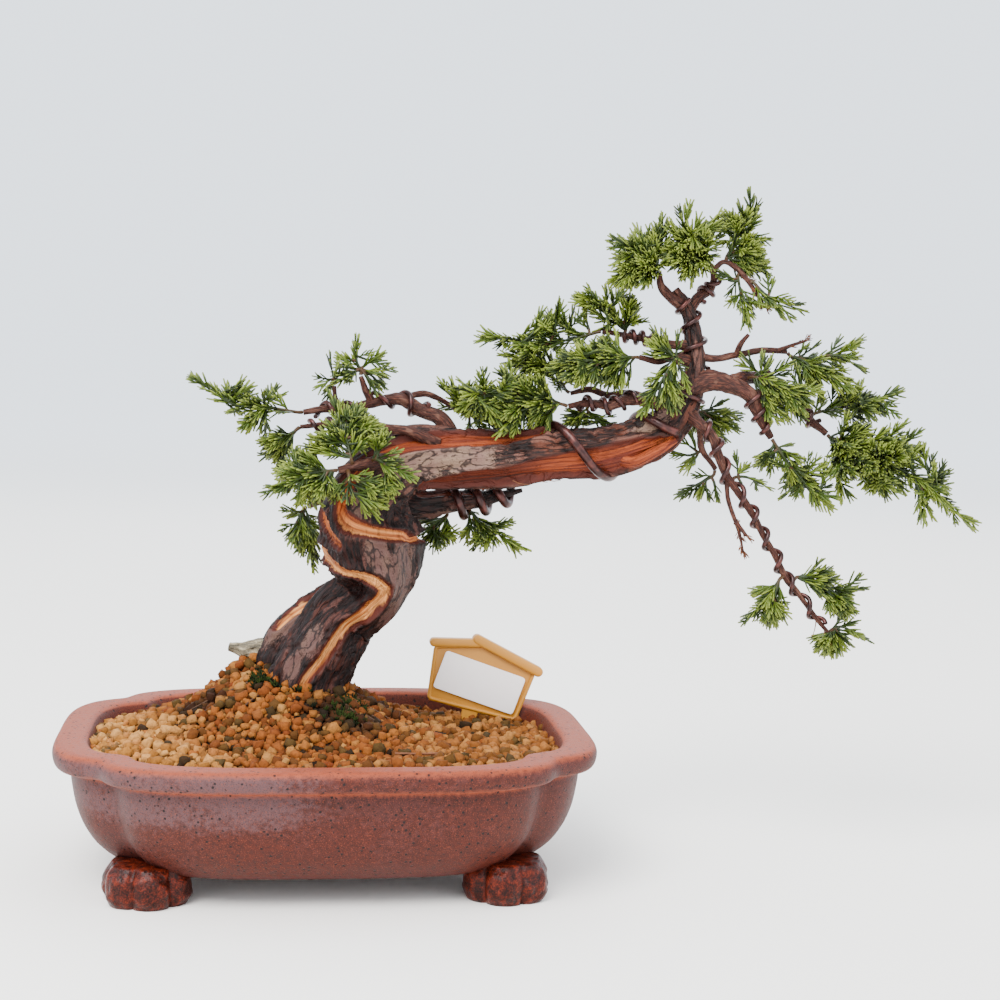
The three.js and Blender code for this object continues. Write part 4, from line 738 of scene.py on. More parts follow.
def grown(name, source, tree, **values):
    """The plain mesh that a tree makes from a source object, which is then removed."""
    modifier = source.modifiers.new(tree.name, "NODES")
    modifier.node_group = tree
    for item in tree.interface.items_tree:
        if item.in_out == "INPUT" and item.name in values:
            modifier[item.identifier] = values[item.name]
    graph = bpy.context.evaluated_depsgraph_get()
    mesh = bpy.data.meshes.new_from_object(source.evaluated_get(graph), depsgraph=graph)
    bpy.data.objects.remove(source)
    return link(name, mesh)


def shape_collection(name, meshes):
    """Shapes for a tree to copy, kept out of the scene."""
    collection = bpy.data.collections.new(name)
    for index, mesh in enumerate(meshes):
        collection.objects.link(bpy.data.objects.new(f"{name}_{index:02d}", mesh))
    return collection


ROD_TREE, PLANTING_TREE, GRAVEL_TREE = rod_tree(), planting_tree(), gravel_tree()


def paths_object(name, paths):
    """Chains of points in millimetres, with a radius at each, as one mesh of edges."""
    vertices, edges, thickness, ages = [], [], [], []
    for points, radii, *age in paths:
        first = len(vertices)
        vertices.extend(to_frame(points).tolist())
        thickness.extend(np.asarray(radii) * MM)
        ages.extend(age[0] if age else [0] * len(points))
        edges.extend((first + k, first + k + 1) for k in range(len(points) - 1))
    mesh = bpy.data.meshes.new(name)
    mesh.from_pydata(vertices, edges, [])
    set_attribute(mesh, "thickness", thickness)
    set_attribute(mesh, "age", ages)
    return link(name, mesh)


def planted(name, points, directions, sizes, tones, shapes, material, draws):
    """Shapes that stand on points along directions, each with a random turn about its own axis."""
    turns = []
    for direction in directions:
        upright = Vector(direction).to_track_quat("Z", "Y").to_matrix()
        turn = upright @ Matrix.Rotation(draws.uniform(0, math.tau), 3, "Z")
        turns.append(tuple(turn.to_euler()))
    mesh = bpy.data.meshes.new(name)
    mesh.from_pydata(to_frame(points).tolist(), [], [])
    set_attribute(mesh, "turn", np.array(turns))
    set_attribute(mesh, "size", np.repeat(np.asarray(sizes, float)[:, None], 3, axis=1))
    set_attribute(mesh, "tone", tones)
    picks = mesh.attributes.new("pick", "INT", "POINT")
    picks.data.foreach_set("value", [draws.randrange(len(shapes.objects)) for _ in points])
    return grown(name, link(name, mesh), PLANTING_TREE, Shapes=shapes, Material=material)


# Finishes

# Where each deeper colour of bare wood sets in on the stain's scale, and its dark and light tone.
DEEPER_WOOD = [(0.1, 0.55, "652206", "b2551d"), (0.6, 1.0, "4e1505", "8c3c16"),
               (1.05, 1.3, "2f0b02", "5a1e05")]


def bare_wood(bark, lay, stain, threads):
    """The colour of bare wood: bands along its fibres, from tan to dark brown by its stain."""
    bands = bark.noise(1.3, 5, bark.stretched(lay, 0.035)).rising(0.35, 0.65)
    wood = bark.mix(bands, "9c541f", "e6a25e")
    for low, high, dark, light in DEEPER_WOOD:
        wood = bark.mix(stain.rising(low, high), wood, bark.mix(bands, dark, light))
    return bark.mix(threads.rising(0.56, 0.7) * 0.7, wood, "43180a")


def peeled_bark(bark, grain, blotches, fine):
    """The colour of smooth bark where the outer layers have gone: grey to mauve, with dark seams."""
    greyer, pinker = bark.mix(fine, "6c5444", "a08674"), bark.mix(fine, "62473f", "8f7068")
    patch = bark.mix(blotches.rising(0.3, 0.7), greyer, pinker)
    flecks = bark.noise(1.3, 3, bark.stretched(grain, 0.5))
    patch = bark.mix(flecks.rising(0.56, 0.66) * 0.7, patch, "2a1611")
    seams = 1 - abs(bark.noise(7, 3, bark.stretched(grain, 0.5)) - 0.5).rising(0.008, 0.04)
    return bark.mix(seams * 0.85, patch, "1c0e0a")


def bark_finish():
    """Peeling purple-brown bark, smooth grey-mauve patches and strips of bare orange wood."""
    bark = Finish("juniper_bark", Roughness=0.6, Specular_IOR_Level=0.22)
    grain, lay = bark.attribute("grain", "Vector"), bark.attribute("lay", "Vector")
    bare, smooth, plates, stain, hollow, dead = (
        bark.attribute(name) for name in ("bare", "smooth", "plates", "stain", "hollow", "dead"))
    fibres = bark.noise(0.55, 5, bark.stretched(grain, 0.09))
    streaks = bark.noise(1.6, 5, bark.stretched(grain, 0.06))
    blotches = bark.noise(4.5, 4, bark.stretched(grain, 0.4))
    fine = bark.noise(0.5, 4, grain)
    threads = bark.noise(0.5, 5, bark.stretched(lay, 0.05))
    splits = 1 - abs(bark.noise(2.8, 3, bark.stretched(grain, 0.13)) - 0.5).rising(0.006, 0.045)
    fibrous = fibres.rising(0.35, 0.65)
    dark = bark.mix(fibrous, "100705", "3d2018")
    dark = bark.mix(blotches.rising(0.52, 0.66), dark, bark.mix(fine, "4c2318", "74422f"))
    flakes = bark.mix(streaks.rising(0.35, 0.65), "2e1814", "7a5044")
    flaked = bark.mix((plates + (fine - 0.5) * 0.9).rising(0.7, 1.1), dark, flakes)
    flaked = bark.mix(splits * 0.8, flaked, "0d0504")
    peeled = (smooth + (blotches - 0.5) * 2.2 + (fine - 0.5)).rising(-0.1, 0.25)
    skin = bark.mix(peeled, flaked, peeled_bark(bark, grain, blotches, fine))
    skin = bark.mix(hollow, skin, bark.mix(fibrous, "100503", "41170a"))
    along = bark.parts(grain)[2]
    skin = bark.deepened(skin, bark.mix(along.rising(105, 150), "ab9a98", "dcd6ce"))
    wood = bare_wood(bark, lay, stain, threads)
    edge = bare + (fibres - 0.5) * 1.2
    rim = bark.mix(edge.rising(-0.7, 0.1), wood, "45170b")
    bark_skin = bark.mix(edge.rising(0.3, 1.3), rim, skin)
    weathered = bark.ramp(streaks * 0.7 + fine * 0.3, [(0.35, "2a261c"), (0.5, "6d614d"), (0.65, "a5977a")])
    bark.paint(Base_Color=bark.mix(dead, bark_skin, weathered), Roughness=0.42 + fibres * 0.4)
    bark.relief(fibres * 0.5 + threads * 0.3 + fine * 0.2 - splits * 0.7 * (1 - peeled), 0.0009, 0.9)
    return bark.material


def twig_finish():
    """Thin peeling bark of the branches."""
    twig = Finish("branch_bark", Roughness=0.65, Specular_IOR_Level=0.2)
    grain = twig.attribute("grain", "Vector")
    fibres = twig.noise(0.5, 4, twig.stretched(grain, 0.16))
    blotches = twig.noise(3, 4, twig.stretched(grain, 0.5))
    skin = twig.ramp(fibres, [(0.3, "150907"), (0.5, "3c2019"), (0.68, "633b2d")])
    worn = twig.mix(blotches.rising(0.52, 0.62), skin, twig.mix(fibres, "452a22", "7a5646"))
    twig.paint(Base_Color=twig.deepened(worn, "e8dcd6"))
    twig.relief(fibres, 0.0006, 0.9)
    return twig.material


def leaf_finish():
    """Mid-green scale leaves with lighter growing tips and brown at the old end of a shoot."""
    leaf = Finish("juniper_leaf", Roughness=0.5, Specular_IOR_Level=0.3)
    tone, tip, age = (leaf.attribute(name) for name in ("tone", "tip", "age"))
    clumps = leaf.noise(0.012, 2)
    scales = leaf.cells(0.0011)
    green = leaf.ramp(tone * 0.75 + clumps * 0.25,
                      [(0.15, "2c3c0e"), (0.45, "4c6219"), (0.75, "6c8027"), (0.95, "8c9a38")])
    lit = leaf.mix((tip + tone * 0.3 - 0.25).rising(0.4, 1.0) * 0.8, green, "a8b458")
    woody = leaf.mix(age.rising(0.15, 0.55), lit, "5a3a24")
    leaf.paint(Base_Color=leaf.deepened(woody, "b8ba94"))
    leaf.relief(scales, 0.00025, 0.6)
    return leaf.material


def plain_finish(name, size, dark, light, **constants):
    """A finish that only drifts between two colours, over about `size` metres."""
    plain = Finish(name, **constants)
    plain.paint(Base_Color=plain.mix(plain.noise(size), dark, light))
    return plain.material


def dry_finish():
    """Dead brown scale leaves."""
    return plain_finish("dead_leaf", 0.003, "3b2119", "86563b", Roughness=0.8, Specular_IOR_Level=0.1)


def wire_finish():
    """Copper-brown anodised aluminium."""
    wire = Finish("copper_wire", Roughness=0.3, Metallic=0.55)
    worn = wire.noise(0.004, 3)
    wire.paint(Base_Color=wire.mix(worn.rising(0.4, 0.75), "2b1411", "5a2d26"), Roughness=0.24 + worn * 0.2)
    wire.relief(wire.noise(0.0006), 0.00006, 0.5)
    return wire.material


def clay_finish():
    """Red-brown clay under a thin mauve bloom, with dark specks and redder edges."""
    clay = Finish("pot_clay", Roughness=0.5, Specular_IOR_Level=0.2)
    edge = clay.attribute("edge")
    clouds = clay.noise(0.04, 3)
    mottle = clay.noise(0.0022, 5)
    grain = clay.noise(0.0005, 4)
    body = clay.mix(mottle.rising(0.3, 0.7), "38130b", "4a1b10")
    bloom = clay.mix(mottle, "3d1f1e", "482826")
    skin = clay.mix((clouds + (mottle - 0.5) * 0.8).rising(0.44, 0.66) * 0.5, body, bloom)
    # Painted sheen: paler mauve-grey patches on the pot's upper left side, which faces the key light.
    across, _, upward = clay.parts(clay.coordinates)
    painted_sheen = (1 - across.rising(-0.13, -0.03)) * upward.rising(0.02, 0.045)
    skin = clay.mix((painted_sheen * (clouds + mottle)).rising(0.6, 1.1) * 0.6, skin, "5a4244")
    red = clay.mix(mottle, "6c2912", "97472a")
    skin = clay.mix((edge + (mottle - 0.5) * 0.35).rising(0.25, 0.85), skin, red)
    skin = clay.mix(edge.rising(1.1, 1.6), skin, clay.mix(mottle, "3a140a", "5c2413"))
    skin = clay.mix(grain.rising(0.56, 0.66) * 0.6, skin, "7a3520")
    skin = clay.mix((1 - grain.rising(0.34, 0.44)) * 0.7, skin, "1f1110")
    specks = clay.cells(0.0026)
    chosen = clay.noise(0.006, 1).rising(0.46, 0.52)
    dots = (1 - specks.rising(0.16, 0.28)) * chosen
    clay.paint(Base_Color=clay.mix(dots * 0.95, skin, "120a0a"), Roughness=0.42 + mottle * 0.3)
    clay.relief(grain * 0.6 + mottle * 0.4 - dots * 0.6, 0.0005, 0.5)
    return clay.material


def foot_finish():
    """Darker, glossier red-brown clay of the feet."""
    clay = Finish("foot_clay", Roughness=0.3, Specular_IOR_Level=0.15)
    mottle, grain = clay.noise(0.003, 3), clay.noise(0.0007, 4)
    skin = clay.ramp(mottle * 0.5 + grain * 0.5, [(0.38, "160502"), (0.5, "370f06"), (0.64, "641f0d")])
    clay.paint(Base_Color=skin, Roughness=0.22 + grain * 0.25)
    clay.relief(grain * 0.3 + mottle * 0.7, 0.0012, 0.6)
    return clay.material


def granule_finish():
    """Baked-clay granules: orange and ochre, some grey or olive, and cream ones at the left."""
    stone = Finish("akadama", Roughness=0.85, Specular_IOR_Level=0.1)
    tone, pale, damp = (stone.attribute(name) for name in ("tone", "pale", "damp"))
    dust = stone.noise(0.0014, 4)
    # Tone 0, which the bed under the granules has, is near black: painted shade in the gaps between them.
    warm = stone.ramp(tone, [(0.0, "1c130a"), (0.03, "433820"), (0.08, "5a4520"), (0.2, "6a3d19"),
                             (0.38, "84491f"), (0.6, "9c5d27"), (0.78, "ad7336"), (0.92, "b98b50"),
                             (1.0, "7e3c16")])
    cream = stone.ramp(tone, [(0.0, "2a1f12"), (0.04, "5e5338"), (0.16, "8b5f29"), (0.42, "b08040"),
                              (0.75, "cda468"), (1.0, "a9682c")])
    skin = stone.mix(pale, stone.deepened(warm, "cdc0b2"), stone.deepened(cream, "e0ccb8"))
    skin = stone.mix(dust.rising(0.4, 0.7) * 0.6, skin, stone.mix(0.6, skin, "351a0a"))
    skin = stone.mix(damp * 0.85, skin, "120c07")
    stone.paint(Base_Color=skin)
    stone.relief(dust, 0.0007, 0.8)
    return stone.material


def plastic_finish():
    """Ochre-yellow moulded plastic."""
    plastic = Finish("yellow_plastic", Roughness=0.42, Specular_IOR_Level=0.4)
    cloud = plastic.noise(0.02, 2)
    plastic.paint(Base_Color=plastic.mix(cloud, "b57722", "c4862c"), Roughness=0.36 + cloud * 0.14)
    plastic.relief(plastic.noise(0.0007), 0.00008, 0.5)
    return plastic.material


def paper_finish():
    """A plain pinkish-white sticker."""
    return plain_finish("white_paper", 0.006, "fbeee7", "fff6f0", Roughness=0.55, Specular_IOR_Level=0.3)


def screen_finish():
    """Dark moulded mesh."""
    return plain_finish("drain_mesh", 0.003, "161816", "2b2f2a", Roughness=0.6)


def moss_finish():
    """Damp dark moss with brighter shoots."""
    moss = Finish("moss", Roughness=0.9, Specular_IOR_Level=0.1)
    moss.paint(Base_Color=moss.mix(moss.attribute("tone"), "0c1007", "28330f"))
    return moss.material


def root_finish():
    """Fine dark roots."""
    return plain_finish("hair_root", 0.004, "2a1a13", "5d4434", Roughness=0.85, Specular_IOR_Level=0.1)


BARK, TWIG, LEAF, DRY = bark_finish(), twig_finish(), leaf_finish(), dry_finish()
WIRE, CLAY, FOOT_CLAY, AKADAMA = wire_finish(), clay_finish(), foot_finish(), granule_finish()
PLASTIC, PAPER, SCREEN = plastic_finish(), paper_finish(), screen_finish()
MOSS, ROOT = moss_finish(), root_finish()


# Trunk and branches

def grain_of(limb, place, angle, radius):
    """A point that runs along the wood: round it in millimetres, and along it."""
    return np.stack([radius * np.cos(angle), radius * np.sin(angle), limb.mm_at(place)], axis=1)


def strip_lay(limb, strip, place, angle, radius):
    """How far each surface point lies outside a strip, and its place across and along it."""
    nearest, across, along = (np.full(len(place), start) for start in (1e3, 0.0, 0.0))
    at, travelled = limb.mm_at(place), 0.0
    for (p0, a0, w0), (p1, a1, w1) in zip(strip, strip[1:]):
        a0, a1 = math.radians(a0), math.radians(a1)
        run, rise = limb.mm_at(p1) - limb.mm_at(p0), (a1 - a0) * radius
        x, middle = at - limb.mm_at(p0), (a0 + a1) / 2
        y = ((angle - middle + math.pi) % math.tau - math.pi + middle - a0) * radius
        reach = np.sqrt(run * run + rise * rise + 1e-9)
        share = np.clip((x * run + y * rise) / reach**2, 0, 1)
        gap = np.hypot(x - share * run, y - share * rise) - (w0 + share * (w1 - w0)) - STRIP_MARGIN
        length = math.hypot(run, (a1 - a0) * limb.radius((p0 + p1) / 2)[0])
        closer = gap < nearest
        across = np.where(closer, (x * rise - y * run) / reach, across)
        along = np.where(closer, travelled + share * length, along)
        nearest = np.where(closer, gap, nearest)
        travelled += length
    return nearest, across, along


def inside_patch(limb, patch, place, angle, radius):
    """1 in the middle of a smooth patch, 0 at its edge and less outside."""
    centre, turn, half_length, half_width = patch
    x = (limb.mm_at(place) - limb.mm_at(centre)) / half_length
    y = ((angle - math.radians(turn) + math.pi) % math.tau - math.pi) * radius / half_width
    return 1 - np.hypot(x, y)


def nearest_strip(limb, name, place, angle, radius):
    """The distance to the nearest bare strip of a limb, that strip's stain, and the lay of its fibres."""
    bare, stain, lay = np.full(len(place), 30.0), np.zeros(len(place)), grain_of(limb, place, angle, radius)
    if name in STRIPPED:
        return bare * 0 - 4, stain + STRIPPED[name], lay
    for index, (strip, stains) in enumerate(zip(BARE_WOOD.get(name, []), WOOD_STAIN.get(name, []))):
        gap, across, along = strip_lay(limb, strip, place, angle, radius)
        places, values = zip(*stains)
        closer = gap < bare
        stain = np.where(closer, np.interp(place, places, values), stain)
        strip_way = np.column_stack([across, np.full(len(place), 9.0 * index), along])
        lay = np.where(closer[:, None], strip_way, lay)
        bare = np.minimum(bare, gap)
    return bare, stain, lay


def smooth_places(limb, name, place, angle, radius):
    """How deep in a smooth patch each point lies."""
    smooth = np.full(len(place), -2.0)
    for patch in SMOOTH_BARK.get(name, []):
        smooth = np.maximum(smooth, inside_patch(limb, patch, place, angle, radius))
    return smooth


def dark_places(limb, name, place, angle, radius, grain):
    """A mask of the dark fibrous places, and how far the bark sinks in there."""
    hollow, sunk = np.zeros(len(place)), np.zeros(len(place))
    for *patch, depth in DARK_BARK.get(name, []):
        inside = inside_patch(limb, patch, place, angle, radius) + 0.3 * layered_noise(grain, 5, 61)
        hollow = np.maximum(hollow, smooth_step(-0.1, 0.5, inside))
        sunk = np.maximum(sunk, smooth_step(-0.1, 0.7, inside) * depth)
    return hollow, sunk


def limb_surface(limb, step, sides):
    """The place, angle and outward way of each point of a limb's skin, ring by ring."""
    places = limb.places_every(step)
    place = np.repeat(places, sides)
    angle = np.tile(even_angles(sides), len(places))
    return place, angle, limb.outward(place, angle)


def limb_piece(name, points, sides, columns):
    """A limb's skin closed by a point at each end, which takes the attributes of its neighbour."""
    limb = limbs[name]
    faces = ring_faces(len(points) // sides, sides)
    points = np.vstack([points, limb.centre(np.array([0, limb.spans]))])
    columns = {label: np.concatenate([values, values[[0, -1]]]) for label, values in columns.items()}
    return link(name, make_mesh(name, to_frame(points), faces, columns))


def thick_limb(name, step, side_step):
    """A thick limb with its bark's relief and the masks that its finish reads."""
    limb = limbs[name]
    sides = round(math.tau * limb.radii.max() / side_step)
    place, angle, way = limb_surface(limb, step, sides)
    radius = np.minimum(limb.ridged_radius(place, angle), limb.bend_limit(place, way))
    grain = grain_of(limb, place, angle, limb.radius(place))
    bare, stain, lay = nearest_strip(limb, name, place, angle, radius)
    smooth = smooth_places(limb, name, place, angle, radius)
    hollow, sunk = dark_places(limb, name, place, angle, radius, grain)
    stretched = grain * (1, 1, 0.35)
    flat = smooth_step(-0.1, 0.25, smooth + 0.5 * layered_noise(grain, 4, 3))
    plates = smooth_step(-0.05, 0.05, layered_noise(stretched, 6, 1)) * 0.6
    plates += smooth_step(-0.05, 0.06, layered_noise(stretched, 3.4, 7)) * 0.4
    cracks = np.exp(-(layered_noise(stretched, 6, 21) / 0.06) ** 2)
    lower = smooth_step(150, 90, limb.mm_at(place))
    folds = layered_noise(grain * (1, 1, 0.14), 6, 31) * (1 + 0.9 * lower)
    swell = layered_noise(grain * (1, 1, 0.6), 16, 51, 2)
    wood = smooth_step(0.5, -0.5, bare + 0.7 * noise(stretched, 1.6, 5))
    bark = 1.2 * plates * (1 - flat) + 1.2 * folds * (1 - 0.6 * flat) + 1.3 * swell
    bark -= 1.3 * cracks * (1 - flat)
    lip = 1.3 * np.exp(-((bare - 1.5) / 1.3) ** 2)
    fibres = 0.4 * layered_noise(grain * (1, 1, 0.06), 1.3, 41)
    threads = 0.5 * layered_noise(lay * (1, 1, 0.05), 1.3, 43)
    dead = np.full(len(place), 1.0 if name == "dead_stub" else 0.0)
    relief = (bark + lip) * (1 - wood) + (threads - 1.2 + 0.8 * swell) * wood
    relief += hollow * fibres * 2 - sunk + dead * fibres * 2.5
    thin = smooth_step(0.5, 6, radius)
    points = limb.centre(place) + way * (radius + relief * thin)[:, None]
    return limb_piece(name, points, sides, {
        "bare": bare, "smooth": smooth, "plates": plates, "stain": stain, "hollow": hollow, "dead": dead,
        "grain": grain, "lay": lay})


def thin_limb(name):
    """A branch or twig: fibrous, slightly knobbly, and flared where it leaves its parent."""
    limb = limbs[name]
    sides = max(FEWEST_SIDES, round(math.tau * limb.radii.max() / THIN_STEP))
    place, angle, way = limb_surface(limb, THIN_STEP, sides)
    base = np.minimum(limb.radius(place), limb.bend_limit(place, way))
    flare = 1 + 0.2 * np.exp(-limb.mm_at(place) / (1.6 * limb.radii[0]))
    grain = grain_of(limb, place, angle, limb.radii[0])
    knots = 1 + 0.24 * layered_noise(grain * (1, 1, 0.45) + len(name) * 17, 2.6, len(name))
    points = limb.centre(place) + way * (base * flare * knots)[:, None]
    return limb_piece(name, points, sides, {"grain": grain})


# How far apart each thick limb's rings and its sides are, in millimetres.
THICK_LIMBS = {"trunk": (0.8, 0.85), "second_root": (0.9, 0.9), "dead_stub": (0.9, 0.9),
               "torn_wood": (0.7, 0.7), "under_beam": (0.8, 0.8)}
THIN_STEP, FEWEST_SIDES = 0.9, 7


def tree_wood():
    """The thick limbs as one piece and all the branches as another."""
    trunk = join("trunk_wood", [thick_limb(name, *steps) for name, steps in THICK_LIMBS.items()])
    finish_piece(trunk, BARK, ["trunk_and_branches"])
    branches = join("branches", [thin_limb(name) for name in limbs if name not in THICK_LIMBS])
    finish_piece(branches, TWIG)


# Training wires

# The gap between wire and wood, points for each turn, and how often and how far a tight point is moved.
WIRE_GAP, TURN_POINTS, LIFTS, LIFT_STEP = 0.2, 28, 8, 0.5


def coil_path(radius, runs, laid):
    """A coil wound close on each limb and lifted off whatever it would run into."""
    points = []
    for limb_name, start, end, turns, angle in runs:
        limb = limbs[limb_name]
        centres, radii = limb_samples([limb_name])
        centres = np.vstack([centres, *[path for path, _ in laid]])
        radii = np.concatenate([radii, *[wire_radii for _, wire_radii in laid]])
        count = round(turns * TURN_POINTS)
        place = np.linspace(start, end, count + 1)
        turn = math.radians(angle) + np.linspace(0, turns, count + 1) * math.tau
        way = limb.outward(place, turn)
        stand = limb.radius(place) * (1 + limb.bark) + radius + WIRE_GAP
        path = limb.centre(place) + way * stand[:, None]
        for _ in range(LIFTS):
            tight = clearance(path, centres, radii) < radius + WIRE_GAP
            path = path + way * (LIFT_STEP * tight)[:, None]
        points.append(path)
    return smoothed(np.vstack(points), 3)


def smoothed(path, passes):
    for _ in range(passes):
        inner = (path[:-2] + 2 * path[1:-1] + path[2:]) / 4
        path = np.vstack([path[:1], inner, path[-1:]])
    return path


def training_wires():
    """Every coil. Returns their paths and radii, for keeping leaves clear of them."""
    laid = []
    for name, (radius, runs) in COILS.items():
        path = coil_path(radius, runs, laid)
        laid.append((path, np.full(len(path), radius)))
        sides = 14 if radius == THICK_WIRE else 9
        source = paths_object(f"wire_path_{name}", laid[-1:])
        wire = grown(f"coil_{name}", source, ROD_TREE, Sides=sides, Material=WIRE)
        finish_piece(wire, replaced=[f"wire_{name}"])
    return laid


# Foliage

TWIGLET_LENGTH = 12
FROND_SPACING, THIN_SPACING, GOLDEN_ANGLE = 2.9, 4.2, 137.5
# Where each rod is measured from its root, how thick it is there, and its sides.
ROD_SHARES, ROD_RADII, ROD_SIDES = (0, 0.55, 1), (0.4, 0.57, 0.4), 3
# Radii of a spray's stem, its side shoots, the shoots that fill it, and every shoot's tip.
STEM_RADIUS, SIDE_RADIUS, FILLER_RADIUS, TIP_RADIUS = 0.95, 0.75, 0.65, 0.55
FROND_SHAPES, FROND_CLEARANCE, SHORTEST_FILLER = 8, 0.6, 8
# Sprays that grow into one another.
PADS = [
    ("apex_left", "apex_centre", "apex_right"),
    ("front_upper", "front_left", "front_low", "front_right"),
    ("pad_end", "pad_upper", "pad_left_low", "right_near", "right_upper"),
    ("crown_far_left", "crown_upper", "crown_middle", "crown_middle_left", "crown_low_left",
     "front_of_leader"),
    ("upper_left", "upper_left_bud"), ("left_tip", "left_hanging"), ("under_left", "under_right"),
    ("end_left", "end_right", "end_tip"), ("apex_droop", "apex_hanging"),
]
PAD_REACH = 26
# Sprays with few twigs, which the sky shows through.
THIN_SPRAYS = {"upper_left", "upper_left_bud", "right_upper", "apex_droop", "drop_upper", "drop_lower",
               "drop_right"}
# Sprays that hide what is behind them.
DENSE_SPRAYS = {"apex_left", "apex_centre", "apex_right", "front_upper", "front_left", "crown_low_left",
                "crown_middle", "end_left", "end_right", "end_tip"}


def rod_rings(path, radii):
    """Vertices, faces and ages of one blunt closed rod."""
    path = np.asarray(path, float)
    vertices, ages = [], []
    for k, (point, radius) in enumerate(zip(path, radii)):
        ahead = path[min(k + 1, len(path) - 1)] - path[max(k - 1, 0)]
        ahead /= np.linalg.norm(ahead)
        side = np.cross(ahead, (0.3, 1, 0.2))
        side /= np.linalg.norm(side)
        other = np.cross(ahead, side)
        for i in range(ROD_SIDES):
            angle = math.tau * i / ROD_SIDES
            vertices.append(point + radius * (side * math.cos(angle) + other * math.sin(angle)))
        ages.extend([k / (len(path) - 1)] * ROD_SIDES)
    tip = path[-1] - path[-2]
    vertices.extend([path[0], path[-1] + 0.8 * radii[-1] * tip / np.linalg.norm(tip)])
    ages.extend([0, 1])
    return vertices, ring_faces(len(path), ROD_SIDES), ages


def add_rod(vertices, faces, path, radii):
    """Adds one rod to a shape, and returns the ages of its vertices."""
    part, part_faces, ages = rod_rings(path, radii)
    first = len(vertices)
    vertices.extend(part)
    faces.extend([tuple(first + k for k in face) for face in part_faces])
    return ages


def frond_mesh(index, draws):
    """A twiglet with shorter ones along it, standing on the origin along +Z."""
    vertices, faces, tips = [], [], []

    def grow(start, way, length, bend):
        path = [start + way * length * share + bend * share**2 for share in ROD_SHARES]
        tips.extend(add_rod(vertices, faces, path, ROD_RADII))

    bend = np.array([draws.uniform(-1.8, 1.8), draws.uniform(-1.8, 1.8), 0])
    grow(np.zeros(3), np.array([0, 0, 1.0]), TWIGLET_LENGTH, bend)
    turn = draws.uniform(0, math.tau)
    for share in (0.1, 0.22, 0.34, 0.46, 0.58, 0.7)[: 5 + index % 2]:
        turn += math.pi + draws.uniform(-0.5, 0.5)
        lean = math.radians(draws.uniform(20, 38))
        way = np.array([math.cos(turn) * math.sin(lean), math.sin(turn) * math.sin(lean), math.cos(lean)])
        start = np.array([0, 0, share * TWIGLET_LENGTH]) + bend * share**2
        length = TWIGLET_LENGTH * (0.56 - 0.36 * share) * draws.uniform(0.75, 1.25)
        grow(start, way, length, np.array([0, 0, 0.5]))
    return make_mesh(f"frond_{index}", np.array(vertices) * MM, faces, attributes={"tip": tips})


def seated(stem):
    """The stem with its first point moved to the skin of the nearest wood."""
    centres, radii = limb_samples()
    start = np.array(stem[0], float)
    index = np.argmin(np.linalg.norm(centres - start, axis=1) - radii)
    away = start - centres[index]
    return np.vstack([centres[index] + away / np.linalg.norm(away) * radii[index] * 0.7, stem])


def bowed(start, end, draws, amount=0.07):
    """A shoot from start to end that bows a little aside and up."""
    start, end = np.asarray(start, float), np.asarray(end, float)
    length = np.linalg.norm(end - start)
    aside = np.array([draws.uniform(-1, 1), draws.uniform(-1, 1), draws.uniform(-1.2, 0.6)]) * length * amount
    shares = np.linspace(0, 1, 5)[:, None]
    return start + (end - start) * shares + aside * 4 * shares * (1 - shares)


def stopping_short(root, tip):
    """A shoot's own end, placed so that the twiglet which closes it ends about at the tip."""
    length = np.linalg.norm(tip - root)
    return root + (tip - root) * max(1 - 0.75 * TWIGLET_LENGTH / length, 0.5)


def pad_tips(name):
    """Side shoots of the sprays that share a pad with this one."""
    others = [other for pad in PADS if name in pad for other in pad if other != name]
    return [np.array(tip, float) for other in others for _, *tip in SPRAYS[other][1]]


def spray_shoots(name, draws):
    """The stem, the side shoots, and more shoots whose tips lie between theirs and their pad's."""
    stem, sides = SPRAYS[name]
    path = seated(stem)
    stem_limb = Limb(np.column_stack([path, np.linspace(1, 0.6, len(path))]))
    last = stem_limb.spans
    shoots = [(stem_limb.centre(np.linspace(0, last, 4 * last)), STEM_RADIUS)]
    tips = [(min(start + 1, last), np.array(tip, float)) for start, *tip in sides]
    for start, tip in tips:
        root = stem_limb.centre(start + (0.3 if start == 1 else 0.1))[0]
        shoots.append((bowed(root, stopping_short(root, tip), draws), SIDE_RADIUS))
    anchors = tips + [(last - 0.6, path[-1])]
    near = [(last - 1, tip) for tip in pad_tips(name) if np.linalg.norm(tip - path[-1]) < PAD_REACH]
    extra = len(sides) if name in THIN_SPRAYS else 3 * len(sides) + 4 + len(near)
    for _ in range(2 * extra if name in DENSE_SPRAYS else extra):
        start, tip = draws.choice(anchors)
        _, other = draws.choice(anchors + near)
        share = draws.uniform(0.15, 0.9 if name in DENSE_SPRAYS else 0.65)
        root = stem_limb.centre(min(max(start + draws.uniform(-0.3, 0.6), 0.5), last))[0]
        end = root + (tip * (1 - share) + other * share - root) * draws.uniform(0.75, 1.05)
        if np.linalg.norm(end - root) > SHORTEST_FILLER:
            shoots.append((bowed(root, stopping_short(root, end), draws, 0.12), FILLER_RADIUS))
    return shoots


def point_at(path, lengths, place):
    return np.array([np.interp(place, lengths, path[:, k]) for k in range(3)])


